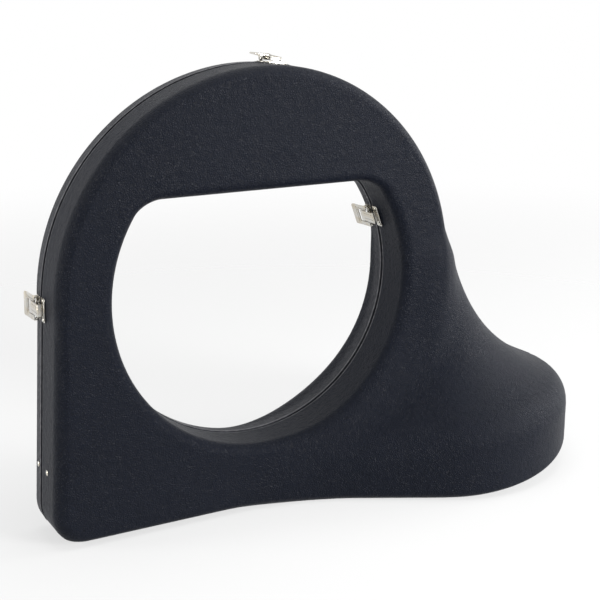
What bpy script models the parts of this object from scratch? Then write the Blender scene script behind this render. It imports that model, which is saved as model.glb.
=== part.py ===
"""Hunting horn case: two hinged shells round a ring for the wound tube and a pocket for the bell.

Units are metres. X runs to the bell pocket, Y to the back shell and Z up. The seam between the
shells is the plane Y = 0, the case stands on Z = 0, and the hinges run along X under the seam.
"""
import math

import bmesh
import bpy
import numpy as np
from mathutils import Matrix, Vector

CASE_NAME = "hunting_horn_case"

# Ring and opening, seen from the front
RING_X, RING_Z = -0.0844, 0.2478
OPENING_RADIUS = 0.1734
OPENING_TOP = 0.356
OPENING_CORNER = 0.0145
RING_RADIUS = 0.2333
CROWN_X, CROWN_Z, CROWN_RADIUS = -0.0787, 0.255, 0.2295
FOOT_X = -0.3323
FOOT_SLANT = 0.0607
FOOT_CORNER = 0.038
FOOT_TOP, FOOT_REACH = 0.25, 0.02

# Bell pocket and the flare that joins it to the ring
BELL_X = 0.1752
BELL_RADIUS = 0.1540
BELL_TILT = 0.1467
SHOULDER_Z = 0.0690
FLARE_NECK = 0.0316
FLARE_SPREAD = 0.1537
FLARE_DECAY = 0.0667
FLARE_FOOT = -0.03
NECK_TOP, NECK_EDGE = 0.282, 0.030
FLANK_ANGLE = math.radians(28.1)
SHOULDER_EDGE, SHOULDER_RISE, SHOULDER_ROW, SHOULDER_MARGIN = 0.0190, 0.008, 0.016, 0.006
BOTTOM_EDGE = 0.0097
RISE_START, RISE_SLOPE, RISE_JOIN = 0.2130, 0.2727, 0.0344
BLEND_RADIUS = 0.0311

# Depth of each shell and the rounding of its rims
FRONT_DEPTH, FRONT_EDGE = 0.0506, 0.0142
BACK_DEPTH, BACK_EDGE = 0.0238, 0.0090
OPENING_EDGE = 0.0118
CIRCLE_JOIN, FOOT_JOIN = 0.002, 0.001

# Walls, seam and lining
GAP = 0.0003
WALL = 0.003
SEAM_CHAMFER = 0.0006
GROOVE = 0.005
SEAM_OVERRUN = 0.004
LINING_INSET, LINING_THICKNESS = 0.0083, 0.0025
LINING_START = 0.0068
EDGE_WALL = 0.0010
TONGUE_THICKNESS, TONGUE_CLEARANCE = 0.0013, 0.0013
TONGUE_LOW, TONGUE_HIGH = -0.005, 0.0035
SHELL_STATIONS = 64
WALL_ROWS = 2
POCKET_ANGLES = (-72, -60, -46, -22, -5, 8)
LATCH_ANGLES = (12, 15, 25, 28, 152, 155, 165, 168)
SHELL_EDGE_ROWS, SHELL_FACE_ROWS = (0.0030, 0.0110), 3
LINING_STATIONS = 44
LINING_EDGE_ROWS, LINING_FACE_ROWS = (0.0016, 0.0060), 2

# Hinges along the bottom
HINGE_AXIS_Z = 0.0019
HINGE_X = {"left": -0.115, "middle": -0.030, "right": 0.055}
HINGE_LENGTH = 0.060
KNUCKLE_RADIUS, KNUCKLE_BORE, HINGE_PIN_RADIUS = 0.0016, 0.0011, 0.00075
LEAF_THICKNESS = 0.0006
LEAF_START, LEAF_END, TAB_START = 0.00135, 0.0036, -0.0003

# Latches: angle round the ring's centre, on the opening's edge or not, and the seat above the skin
LATCHES = {
    "top": (82.5, False, 0.00035),
    "left": (180.0, False, 0.00035),
    "right_inner": (20.0, True, 0.0012),
    "left_inner": (160.0, True, 0.0012),
}
PLATE = 0.0008
PLATE_HALF = 0.0125
BASE_START, BASE_END = 0.0020, 0.0125
CATCH_START, CATCH_END = -0.0135, -0.0024
LUG = 0.0010
EAR_X, EAR_RADIUS, EAR_HALF = 0.0107, 0.0020, 0.0015
LEVER_PIVOT_Y, PIVOT_HEIGHT = 0.0050, 0.0034
LEVER_ARM = 0.0090
LEVER_TILT = math.radians(3.0)
LEVER_HALF, LEVER_START, LEVER_END = 0.0130, -0.0010, 0.0260
LEVER_RISE = 0.0023
CHEEK_RADIUS, CHEEK_HALF, CHEEK_LENGTH = 0.0019, 0.0017, 0.0042
INNER_CHEEK_X = 0.0081
WINDOW_HALF, WINDOW_END = 0.0073, 0.0155
HOOK_HALF, HOOK_NOSE, HOOK_TAIL, HOOK_DROP = 0.0066, -0.0226, 0.0036, -0.0009
RIDGE_Y, RIDGE_HALF, RIDGE_TOP, CATCH_EDGE_TOP = -0.0074, 0.0062, 0.0025, 0.0020
PIN_RADIUS, PIN_HOLE = 0.0008, 0.00115
LEVER_PIN_LENGTH, HOOK_PIN_LENGTH = 0.0258, 0.0178
RIVET_SHANK, RIVET_HOLE, RIVET_HEAD, RIVET_RISE = 0.0010, 0.0014, 0.0019, 0.0006
BASE_RIVET = (0.0080, 0.0100)
CATCH_RIVET = (0.0098, -0.0080)

# Lid stay at the lower left
STAY_Z = 0.078
STAY_FRONT_Y, STAY_BACK_Y = -0.020, 0.0085
STAY_SHANK, STAY_HOLE, STAY_HEAD, STAY_FOOT, STAY_RISE = 0.0011, 0.0015, 0.0030, 0.0022, 0.0010
STAY_WIDTH, STAY_THICKNESS = 0.0065, 0.0010

# Mouthpiece block in the square corner: half length, half width, top, trough and distance out
BLOCK_HALF_LENGTH, BLOCK_HALF_WIDTH, BLOCK_TOP = 0.030, 0.019, -0.010
TROUGH_RADIUS, TROUGH_LENGTH = 0.0125, 0.054
BLOCK_DISTANCE = 0.262

SKIN = (0.030, 0.033, 0.044)
PLUSH = (0.060, 0.010, 0.016)
NICKEL = (0.62, 0.60, 0.55)
BLACK_TRIM = (0.012, 0.012, 0.014)
WEBBING = (0.020, 0.020, 0.022)


def round_min(a, b, radius):
    """Smaller of two distances, with the hollow corner filled to a radius."""
    overlap = np.hypot(np.maximum(radius - a, 0), np.maximum(radius - b, 0))
    return np.maximum(radius, np.minimum(a, b)) - overlap


def round_max(a, b, radius):
    """Larger of two distances, with the outer corner rounded to a radius."""
    overlap = np.hypot(np.maximum(radius + a, 0), np.maximum(radius + b, 0))
    return np.minimum(-radius, np.maximum(a, b)) + overlap


def opening_field(x, z):
    """Distance to the opening's edge, negative inside the opening: a circle with a flat top."""
    circle = np.hypot(x - RING_X, z - RING_Z) - OPENING_RADIUS
    return round_max(circle, z - OPENING_TOP, OPENING_CORNER)


def ring_field(x, z):
    """Distance to the ring's outer edge: two circles over a square foot at the lower left."""
    crown = np.hypot(x - CROWN_X, z - CROWN_Z) - CROWN_RADIUS
    circle = np.hypot(x - RING_X, z - RING_Z) - RING_RADIUS
    side = (FOOT_X + FOOT_SLANT * z - x) / math.hypot(1, FOOT_SLANT)
    foot = np.maximum(round_max(side, -z, FOOT_CORNER), np.maximum(z - FOOT_TOP, x - FOOT_REACH))
    return round_min(round_min(crown, circle, CIRCLE_JOIN), foot, FOOT_JOIN)


def pocket_section(p, y):
    """Horizontal section of the bell pocket: a circle, with a straight flank on its left."""
    flank = -p * math.sin(FLANK_ANGLE) + y * math.cos(FLANK_ANGLE)
    on_flank = p * math.cos(FLANK_ANGLE) + y * math.sin(FLANK_ANGLE) < 0
    return np.where(on_flank, flank, np.hypot(p, y))


def bell_field(x, y, z):
    """Distance to the bell pocket: an upright wall under a flare that leans to the ring."""
    wall = pocket_section(x - BELL_X, y) - BELL_RADIUS
    tilt = math.atan(BELL_TILT)
    along = (z - SHOULDER_Z - BELL_TILT * (x - BELL_X)) * math.cos(tilt)
    side = (x - BELL_X) * math.cos(tilt) + z * math.sin(tilt)
    growth = FLARE_SPREAD * np.exp(-np.maximum(along, FLARE_FOOT) / FLARE_DECAY)
    slope = np.sqrt(1 + (growth / FLARE_DECAY) ** 2)
    flare = (pocket_section(side, y) - FLARE_NECK - growth) / slope
    body = round_max(wall, flare, SHOULDER_EDGE)
    return round_max(body, z - NECK_TOP, NECK_EDGE)


def floor_field(x, z):
    """Distance below the bottom, which is flat and then rises under the pocket's right end."""
    rise = (RISE_SLOPE * (x - RISE_START) - z) / math.hypot(1, RISE_SLOPE)
    return round_max(-z, rise, RISE_JOIN)


def case_field(x, y, z, depth, edge):
    """Distance to the whole form of one shell, where y is the distance from the seam plane."""
    ring = round_max(ring_field(x, z), y - depth, edge)
    joined = round_min(ring, bell_field(x, y, z), BLEND_RADIUS)
    joined = round_max(joined, floor_field(x, z), BOTTOM_EDGE)
    return round_max(joined, -opening_field(x, z), OPENING_EDGE)


def halve(inside, low, high, rounds=40):
    """Crossing between low, where inside is true, and high, where it is false."""
    for _ in range(rounds):
        middle = (low + high) / 2
        hit = inside(middle)
        low = np.where(hit, middle, low)
        high = np.where(hit, high, middle)
    return low


def edge_points(angles, outer, level=0.0):
    """Points in the seam, and outward normals, where rays from the ring's centre cross an edge."""
    cos, sin = np.cos(angles), np.sin(angles)
    core = np.full(angles.shape, 0.2)
    far = np.full(angles.shape, 0.55 if outer else 0.05)

    def height(x, z):
        return case_field(x, 0 * x, z, BACK_DEPTH, BACK_EDGE)

    radius = halve(lambda r: height(RING_X + r * cos, RING_Z + r * sin) < level, core, far)
    x, z = RING_X + radius * cos, RING_Z + radius * sin
    step = 0.0004
    slope_x = height(x + step, z) - height(x - step, z)
    slope_z = height(x, z + step) - height(x, z - step)
    slope = np.stack([slope_x, slope_z], -1)
    return np.stack([x, z], -1), slope / np.linalg.norm(slope, axis=1)[:, None]


def running(values):
    """Running total that starts at zero and ends at one."""
    total = np.concatenate([[0], np.cumsum(values)])
    return total / total[-1]


def sweep(points):
    """Root of the curvature times the length, for each step of a line."""
    steps = np.diff(points, axis=0)
    lengths = np.linalg.norm(steps, axis=1)
    heading = steps / lengths[:, None]
    turn = np.arccos(np.clip((heading[1:] * heading[:-1]).sum(axis=1), -1, 1))
    return np.sqrt(np.append(turn, 0) * lengths)


def station_angles(count):
    """Angles of the stations, closer where an edge bends, round the bell and at the inner latches.

    Chords leave an edge by the same amount all round where each step holds an equal share of the
    root of its curvature.
    """
    dense = np.radians(np.linspace(-90, 270, 1441))
    outer, _ = edge_points(dense, True)
    inner, _ = edge_points(dense, False)
    pocket = np.interp(np.degrees(dense[1:]), POCKET_ANGLES, (0, 0.6, 1, 1, 0.3, 0))
    latch = np.interp(np.degrees(dense[1:]), LATCH_ANGLES, (0, 1, 1, 0, 0, 1, 1, 0))
    shares = (
        (0.08, np.ones(len(pocket))),
        (0.40, sweep(outer)),
        (0.27, sweep(inner)),
        (0.20, pocket),
        (0.05, latch),
    )
    measure = sum(share * running(values) for share, values in shares)
    return np.interp(np.arange(count) / count, measure, dense)


def groove_depth(normals, fade=0.55):
    """Inset of the seam's lip: the hinge groove where the edge faces down, else a small chamfer."""
    share = np.clip((-normals[:, 1] - fade) / 0.35, 0, 1)
    return SEAM_CHAMFER + (GROOVE - SEAM_CHAMFER) * share


def skin_rows(depth, edge, level, stations, start, edge_rows, face_rows):
    """Points of one skin at each station, from the outer edge over the face to the opening.

    Each point is x, the distance from the seam, and z. The rows begin at the seam's chamfers,
    or at a distance from the seam where start gives one.
    """
    angles = station_angles(stations)
    outer, outer_normal = edge_points(angles, True, level)
    inner, inner_normal = edge_points(angles, False, level)
    t = (1 - np.cos(np.linspace(0, math.pi, 161)[1:-1])) / 2
    path = outer[:, None, :] + t[None, :, None] * (inner - outer)[:, None, :]
    x, z = path[..., 0], path[..., 1]
    height = halve(lambda y: case_field(x, y, z, depth, edge) < level, 0 * x, 0 * x + 0.2)
    ray = np.stack([np.cos(angles), np.sin(angles)], -1)
    slants = [np.maximum(np.abs((ray * normal).sum(axis=1)), 0.4) for normal in (outer_normal, inner_normal)]
    lines = []
    firsts = np.full(stations, start) if start else groove_depth(outer_normal)
    last = start or SEAM_CHAMFER
    for k, first in enumerate(firsts):
        y = np.maximum(height[k], np.linspace(first, last, len(t)) + EDGE_WALL)
        face = np.column_stack([x[k], y, z[k]])
        head = [(outer[k, 0], first, outer[k, 1]), (outer[k, 0], y[0], outer[k, 1])]
        tail = [(inner[k, 0], y[-1], inner[k, 1]), (inner[k, 0], last, inner[k, 1])]
        rows = [np.array(edge_rows) / slant[k] for slant in slants]
        lines.append(place_rows(np.vstack([head, face, tail]), *rows, face_rows))
    return np.array(lines)


def travel(line):
    """Distance along a line at each of its points."""
    return np.concatenate([[0], np.cumsum(np.linalg.norm(np.diff(line, axis=0), axis=1))])


def place_rows(line, outer_rows, inner_rows, face_rows):
    """Points on a station's line: at its edges, at the bell's shoulder and evenly over the face.

    The outer and inner rows are distances in from the two edges as seen from the front.
    """
    along = travel(line)
    inward = travel(line[:, [0, 2]])
    rise = line[:, 2] - SHOULDER_Z - SHOULDER_RISE - BELL_TILT * (line[:, 0] - BELL_X)
    crossing = inward[np.argmax(rise >= 0)] if (rise >= 0).any() else inward[-1]
    outer = np.interp(outer_rows, inward, along)
    inner = np.interp(inward[-1] - inner_rows[::-1], inward, along)
    nearest, furthest = outer_rows[-1] + SHOULDER_MARGIN, inward[-1] - inner_rows[-1] - SHOULDER_MARGIN
    knee = np.interp(min(max(crossing, nearest), furthest), inward, along)
    before = knee - min(SHOULDER_ROW, (knee - outer[-1]) / 2)
    after = knee + min(SHOULDER_ROW, (inner[0] - knee) / 3)
    face = np.linspace(after, inner[0], face_rows + 2)[:-1]
    wall = np.linspace(outer[-1], before, WALL_ROWS + 2)[1:]
    want = [0, along[1], *outer, *wall, knee, *face, *inner, along[-2], along[-1]]
    return np.stack([np.interp(want, along, line[:, i]) for i in range(3)], -1)


def seam_row(points, y):
    """One row of points at a distance from the seam plane."""
    return np.column_stack([points[:, 0], np.full(len(points), y), points[:, 1]])[:, None, :]


def loft(name, lines, side=1, closed=True):
    """Object with an open surface through lines of points; side is -1 on the front shell."""
    mesh = bpy.data.meshes.new(name)
    build = bmesh.new()
    verts = [[build.verts.new((x, side * y, z)) for x, y, z in line] for line in lines.tolist()]
    after = verts[1:] + verts[:1] if closed else verts[1:]
    for here, there in zip(verts, after):
        for j in range(len(here) - 1):
            corners = (here[j], here[j + 1], there[j + 1], there[j])
            build.faces.new(corners[::side])
    build.to_mesh(mesh)
    build.free()
    return bpy.data.objects.new(name, mesh)


def solidify(obj, thickness, offset=-1):
    """Gives an open surface its thickness, on the inside unless the offset says otherwise."""
    mod = obj.modifiers.new("thickness", "SOLIDIFY")
    mod.thickness = thickness
    mod.offset = offset
    mod.use_quality_normals = True


def boolean(obj, other, operation):
    """Joins or cuts an object with another one."""
    mod = obj.modifiers.new(operation.lower(), "BOOLEAN")
    mod.operation = operation
    mod.object = other
    mod.solver = "EXACT"


def cut(obj, mesh):
    """Cuts an object with a mesh that stays out of the model."""
    cutter = bpy.data.objects.new(obj.name + "_cutter", mesh)
    cutter.hide_render = True
    cutter.display_type = "WIRE"
    CUTTERS.objects.link(cutter)
    boolean(obj, cutter, "DIFFERENCE")


def boxes(*corners):
    """One mesh of boxes, each given by its low and high corner."""
    mesh = bpy.data.meshes.new("boxes")
    build = bmesh.new()
    for low, high in corners:
        middle = (Vector(low) + Vector(high)) / 2
        size = Matrix.Diagonal((*(Vector(high) - Vector(low)), 1))
        bmesh.ops.create_cube(build, size=1, matrix=Matrix.Translation(middle) @ size)
    build.to_mesh(mesh)
    build.free()
    return mesh


def rods(*shapes, along="X", sides=12):
    """One mesh of rods along X or Z: the middle of each, its radius and its length."""
    turn = Matrix.Rotation(math.pi / 2, 4, "Y") if along == "X" else Matrix.Identity(4)
    mesh = bpy.data.meshes.new("rods")
    build = bmesh.new()
    for middle, radius, length in shapes:
        bmesh.ops.create_cone(build, cap_ends=True, segments=sides, radius1=radius, radius2=radius,
                              depth=length, matrix=Matrix.Translation(middle) @ turn)
    build.to_mesh(mesh)
    build.free()
    return mesh


def carved(name, base, *steps):
    """Mesh of a base joined with or cut by other meshes in turn, made once for all its copies."""
    obj = bpy.data.objects.new(name, base)
    SCENE.collection.objects.link(obj)
    helpers = []
    for operation, mesh in steps:
        helper = bpy.data.objects.new(name + "_helper", mesh)
        SCENE.collection.objects.link(helper)
        boolean(obj, helper, operation)
        helpers.append(helper)
    bpy.context.view_layer.update()
    result = bpy.data.meshes.new_from_object(obj.evaluated_get(bpy.context.evaluated_depsgraph_get()))
    for item in (obj, *helpers):
        bpy.data.objects.remove(item)
    result.name = name
    smooth(result)
    return result


def smooth(mesh):
    """Smooth shading with the sharp edges kept."""
    mesh.shade_smooth()
    mesh.set_sharp_from_angle(angle=math.radians(35))


def material(name, colour, roughness, metallic=0.0):
    """Plain material of a piece."""
    mat = bpy.data.materials.new(name)
    mat.use_nodes = True
    shader = mat.node_tree.nodes["Principled BSDF"]
    shader.inputs["Base Color"].default_value = (*colour, 1)
    shader.inputs["Roughness"].default_value = roughness
    shader.inputs["Metallic"].default_value = metallic
    return mat


def add(obj, mat, parent=None):
    """Puts a piece in the case, with its material, on the body that carries it."""
    if not obj.data.materials:
        obj.data.materials.append(mat)
    CASE.objects.link(obj)
    if parent:
        obj.parent = parent
        obj.matrix_parent_inverse = parent.matrix_world.inverted()
    return obj


def place(name, mesh, matrix, mat, parent=None):
    """Adds a piece whose mesh is made about its own origin."""
    obj = bpy.data.objects.new(name, mesh)
    obj.matrix_world = matrix
    return add(obj, mat, parent)


def turned(name, profile, matrix, mat, parent=None, sides=10):
    """Adds a turned piece: a profile at +X, top to bottom, with a Screw modifier round its Z."""
    mesh = bpy.data.meshes.new(name)
    edges = [(k, k + 1) for k in range(len(profile) - 1)]
    mesh.from_pydata([(radius, 0, height) for radius, height in profile], edges, [])
    obj = place(name, mesh, matrix, mat, parent)
    mod = obj.modifiers.new("turn", "SCREW")
    mod.steps = sides
    mod.render_steps = sides
    mod.use_merge_vertices = True
    mod.merge_threshold = 1e-5
    return obj


def shell(name, side, depth, edge, mat, parent=None):
    """One moulded shell: open skin, its wall on the inside, cut flat at the seam."""
    angles = station_angles(SHELL_STATIONS)
    outer, outer_normal = edge_points(angles, True)
    inner, inner_normal = edge_points(angles, False)
    lip = outer - outer_normal * groove_depth(outer_normal)[:, None]
    rim = inner - inner_normal * SEAM_CHAMFER
    skin = skin_rows(depth, edge, 0.0, SHELL_STATIONS, 0.0, SHELL_EDGE_ROWS, SHELL_FACE_ROWS)
    ends = [seam_row(points, y) for points in (lip, rim) for y in (-SEAM_OVERRUN, 0.0)]
    obj = loft(name, np.concatenate([ends[0], ends[1], skin, ends[3], ends[2]], axis=1), side)
    solidify(obj, WALL)
    seam = side * GAP / 2
    past = seam - side * 0.05
    cut(obj, boxes(((-0.5, min(seam, past), -0.1), (0.5, max(seam, past), 0.6))))
    smooth(obj.data)
    return add(obj, mat, parent)


def lining(name, side, depth, edge, mat, parent=None):
    """Padded lining that follows the inside of a shell and stops short of the seam."""
    counts = (LINING_EDGE_ROWS, LINING_FACE_ROWS)
    obj = loft(name, skin_rows(depth, edge, -LINING_INSET, LINING_STATIONS, LINING_START, *counts), side)
    solidify(obj, LINING_THICKNESS)
    smooth(obj.data)
    return add(obj, mat, parent)


def tongue(name, outer, mat):
    """Locating strip fixed inside the front shell's rim, standing into the back shell."""
    points, normals = edge_points(station_angles(SHELL_STATIONS), outer)
    groove = groove_depth(normals, 0.2) if outer else SEAM_CHAMFER
    inset = WALL + TONGUE_CLEARANCE + groove * np.ones(len(points))
    line = points - normals * inset[:, None]
    ends = (TONGUE_LOW, TONGUE_HIGH) if outer else (TONGUE_HIGH, TONGUE_LOW)
    obj = loft(name, np.concatenate([seam_row(line, y) for y in ends], axis=1))
    solidify(obj, TONGUE_THICKNESS)
    smooth(obj.data)
    return add(obj, mat)


def latch_frame(angle, inner, seat):
    """Matrix of a latch: X along the edge, Y to the back shell, Z out of the skin."""
    points, normals = edge_points(np.array([math.radians(angle)]), not inner)
    normal = Vector((normals[0, 0], 0, normals[0, 1]))
    along = Vector((normal.z, 0, -normal.x))
    origin = Vector((points[0, 0], 0, points[0, 1])) + normal * seat
    return Matrix.Translation(origin) @ Matrix((along, (0, 1, 0), normal)).transposed().to_4x4()


def both_sides(x, half, low, high):
    """Boxes at plus and minus x, given by their half width and their low and high y and z."""
    return [((s * x - half, *low), (s * x + half, *high)) for s in (-1, 1)]


def latch_base_mesh():
    """Base plate of a latch with its two ears."""
    pivot = (LEVER_PIVOT_Y, PIVOT_HEIGHT)
    ears = both_sides(EAR_X, LUG / 2, (pivot[0] - EAR_HALF, PLATE / 2), (pivot[0] + EAR_HALF, pivot[1]))
    across, along = BASE_RIVET
    holes = rods(*(((s * across, along, 0), RIVET_HOLE, 0.004) for s in (-1, 1)), along="Z", sides=8)
    return carved(
        "latch_base", boxes(((-PLATE_HALF, BASE_START, 0), (PLATE_HALF, BASE_END, PLATE))),
        ("UNION", boxes(*ears)),
        ("UNION", rods(*(((s * EAR_X, *pivot), EAR_RADIUS, LUG) for s in (-1, 1)), sides=10)),
        ("DIFFERENCE", rods(((0, *pivot), PIN_HOLE, 0.03), sides=8)),
        ("DIFFERENCE", holes),
    )


def latch_lever_mesh():
    """Lever of a latch about its pivot: slotted plate, outer cheeks and the hook pin's cheeks."""
    top = LEVER_RISE + PLATE / 2
    outer_x = LEVER_HALF - LUG / 2
    outer = both_sides(outer_x, LUG / 2, (LEVER_START, 0), (CHEEK_LENGTH, top))
    low, high = (LEVER_ARM - CHEEK_HALF, -CHEEK_HALF), (LEVER_ARM + CHEEK_HALF, top)
    inner = both_sides(INNER_CHEEK_X, LUG / 2, low, high)
    lugs = [((s * outer_x, 0, 0), CHEEK_RADIUS, LUG) for s in (-1, 1)]
    plate = boxes(((-LEVER_HALF, LEVER_START, LEVER_RISE), (LEVER_HALF, LEVER_END, LEVER_RISE + PLATE)))
    return carved(
        "latch_lever", plate,
        ("DIFFERENCE", boxes(((-WINDOW_HALF, -0.003, 0), (WINDOW_HALF, WINDOW_END, 0.004)))),
        ("UNION", boxes(*outer, *inner)),
        ("UNION", rods(*lugs, sides=10)),
        ("DIFFERENCE", rods(((0, 0, 0), PIN_HOLE, 0.03), ((0, LEVER_ARM, 0), PIN_HOLE, 0.03), sides=8)),
    )


def latch_hook_mesh():
    """Draw hook of a latch about its pin: strip, eye block and nose."""
    low, high = LEVER_RISE, LEVER_RISE + PLATE
    block = HOOK_HALF - PLATE
    nose = ((-HOOK_HALF, HOOK_NOSE, HOOK_DROP), (HOOK_HALF, HOOK_NOSE + PLATE, low + PLATE / 2))
    return carved(
        "latch_hook", boxes(((-HOOK_HALF, HOOK_NOSE, low), (HOOK_HALF, HOOK_TAIL, high))),
        ("UNION", boxes(((-block, -CHEEK_HALF, 0), (block, CHEEK_HALF, low + PLATE / 2)))),
        ("UNION", rods(((0, 0, 0), CHEEK_RADIUS, 2 * block), sides=10)),
        ("UNION", boxes(nose)),
        ("DIFFERENCE", rods(((0, 0, 0), PIN_HOLE, 0.03), sides=8)),
    )


def latch_catch_mesh():
    """Catch plate of a latch with the ridge for the hook and a raised front edge."""
    across, along = CATCH_RIVET
    ridge = ((-RIDGE_HALF, RIDGE_Y, PLATE / 2), (RIDGE_HALF, RIDGE_Y + PLATE, RIDGE_TOP))
    edge = ((-PLATE_HALF, CATCH_START, PLATE / 2), (PLATE_HALF, CATCH_START + PLATE, CATCH_EDGE_TOP))
    holes = rods(*(((s * across, along, 0), RIVET_HOLE, 0.004) for s in (-1, 1)), along="Z", sides=8)
    return carved(
        "latch_catch", boxes(((-PLATE_HALF, CATCH_START, 0), (PLATE_HALF, CATCH_END, PLATE))),
        ("UNION", boxes(ridge, edge)),
        ("DIFFERENCE", holes),
    )


def latches(mat, lid):
    """Four drawbolt latches: bases, levers and hooks on the back shell, catches on the front."""
    base, lever = latch_base_mesh(), latch_lever_mesh()
    hook, catch = latch_hook_mesh(), latch_catch_mesh()
    lever_pin = rods(((0, 0, 0), PIN_RADIUS, LEVER_PIN_LENGTH), sides=10)
    hook_pin = rods(((0, 0, 0), PIN_RADIUS, HOOK_PIN_LENGTH), sides=10)
    tilt = Matrix.Rotation(LEVER_TILT, 4, "X")
    for name, spec in LATCHES.items():
        frame = latch_frame(*spec)
        pivot = frame @ Matrix.Translation((0, LEVER_PIVOT_Y, PIVOT_HEIGHT))
        hook_pivot = pivot @ Matrix.Translation(tilt @ Vector((0, LEVER_ARM, 0)))
        place(f"latch_{name}_base", base, frame, mat, lid)
        place(f"latch_{name}_lever_pin", lever_pin, pivot, mat, lid)
        arm = place(f"latch_{name}_lever", lever, pivot @ tilt, mat, lid)
        place(f"latch_{name}_hook_pin", hook_pin, hook_pivot, mat, arm)
        place(f"latch_{name}_hook", hook, hook_pivot, mat, arm)
        place(f"latch_{name}_catch", catch, frame, mat)
        plate_rivets(f"latch_{name}_base_rivet", frame, BASE_RIVET, mat, lid)
        plate_rivets(f"latch_{name}_catch_rivet", frame, CATCH_RIVET, mat, None)
        for what, matrix in (("lever", pivot), ("hook", hook_pivot)):
            spot = tuple(round(v, 5) for v in matrix.translation)
            axis = tuple(round(v, 5) for v in matrix.col[0][:3])
            print("joint of", name, what, spot, "axis", axis)


def plate_rivets(name, frame, spot, mat, parent):
    """The two rivets of a latch plate: a low head over a shank through the plate."""
    seat = PLATE + GAP
    profile = [(0, seat + RIVET_RISE), (RIVET_HEAD * 0.7, seat + RIVET_RISE * 0.75), (RIVET_HEAD, seat),
               (RIVET_SHANK, seat), (RIVET_SHANK, 0), (0, 0)]
    for number, side in enumerate((-1, 1), 1):
        matrix = frame @ Matrix.Translation((side * spot[0], spot[1], 0))
        turned(f"{name}_{number}", profile, matrix, mat, parent, 8)


def leaf_mesh(name, turn, side, spans):
    """Leaf of a hinge about its axis: a plate on the groove's slope, with tabs to its knuckles."""
    slope = (GROOVE - HINGE_AXIS_Z) / math.sqrt(2)
    low, high = sorted((side * (slope - GAP - LEAF_THICKNESS), side * (slope - GAP)))
    half = HINGE_LENGTH / 2
    lean = Matrix.Rotation(math.radians(turn), 4, "X")
    plate = boxes(((-half, LEAF_START, low), (half, LEAF_END, high)))
    tabs = boxes(*(((a, TAB_START, low), (b, LEAF_START + 2 * GAP, high)) for a, b in spans))
    plate.transform(lean)
    tabs.transform(lean)
    barrels = rods(*((((a + b) / 2, 0, 0), KNUCKLE_RADIUS, b - a) for a, b in spans))
    bore = rods(((0, 0, 0), KNUCKLE_BORE, HINGE_LENGTH * 1.1))
    return carved(name, plate, ("UNION", tabs), ("UNION", barrels), ("DIFFERENCE", bore))


def hinges(mat, lid):
    """Three hinges in the groove under the seam."""
    half, third, play = HINGE_LENGTH / 2, HINGE_LENGTH / 3, GAP
    front_spans = [(-half, -half + third - play), (half - third + play, half)]
    front = leaf_mesh("hinge_front_leaf", 225, -1, front_spans)
    back = leaf_mesh("hinge_back_leaf", -45, 1, [(-half + third, half - third)])
    pin = rods(((0, 0, 0), HINGE_PIN_RADIUS, HINGE_LENGTH), sides=10)
    for name, x in HINGE_X.items():
        spot = Matrix.Translation((x, 0, HINGE_AXIS_Z))
        place(f"hinge_{name}_front_leaf", front, spot, mat)
        place(f"hinge_{name}_pin", pin, spot, mat)
        place(f"hinge_{name}_back_leaf", back, spot, mat, lid)


def wall_frame(y, z):
    """Matrix on the skin of the left side wall: X up the wall, Y back, Z out of it."""
    lean = math.atan(FOOT_SLANT)
    upward = Vector((math.sin(lean), 0, math.cos(lean)))
    outward = Vector((-math.cos(lean), 0, math.sin(lean)))
    turn = Matrix((upward, (0, 1, 0), outward)).transposed().to_4x4()
    return Matrix.Translation((FOOT_X + FOOT_SLANT * z, y, z)) @ turn


def stay_rivet(name, y, mat, parent, pieces):
    """Rivet through the side wall and its lining that holds one end of the lid stay."""
    frame = wall_frame(y, STAY_Z)
    foot = -(LINING_INSET + LINING_THICKNESS + STAY_THICKNESS + 4 * GAP)
    profile = [(0, GAP + STAY_RISE), (STAY_HEAD * 0.7, GAP + STAY_RISE * 0.8), (STAY_HEAD, GAP),
               (STAY_SHANK, GAP), (STAY_SHANK, foot), (STAY_FOOT, foot),
               (STAY_FOOT, foot - STAY_RISE), (0, foot - STAY_RISE)]
    turned(name, profile, frame, mat, parent, 12)
    for piece in pieces:
        drill = rods(((0, 0, 0), STAY_HOLE, 0.04), along="Z")
        drill.transform(frame)
        cut(piece, drill)


def stay_strap(mat):
    """Tape between the two stay rivets: it hangs down the wall, folds in the corner and comes back.

    Each point is its height above the rivets, its y, and its distance in from the skin.
    """
    top, deep = 0.006, LINING_INSET + LINING_THICKNESS + 2 * GAP + STAY_THICKNESS / 2
    front, back = STAY_FRONT_Y, STAY_BACK_Y
    spots = [
        (top, front, deep), (-0.004, front, deep), (-0.020, -0.0160, 0.0134), (-0.040, -0.0115, 0.0146),
        (-0.053, -0.0085, 0.0187), (-0.0590, -0.0062, 0.0238), (-0.0592, -0.0055, 0.0253),
        (-0.0576, -0.0048, 0.0258), (-0.050, -0.0018, 0.0202), (-0.040, 0.0010, 0.0170),
        (-0.020, 0.0060, 0.0147), (-0.004, back, deep), (top, back, deep),
    ]
    frame = wall_frame(0, STAY_Z)
    lines = []
    for up, y, inward in spots:
        ends = (y - STAY_WIDTH / 2, y + STAY_WIDTH / 2)
        lines.append([tuple(frame @ Vector((up, end, -inward))) for end in ends])
    strap = loft("lid_stay_strap", np.array(lines), closed=False)
    solidify(strap, STAY_THICKNESS, 0)
    return add(strap, mat)


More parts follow.
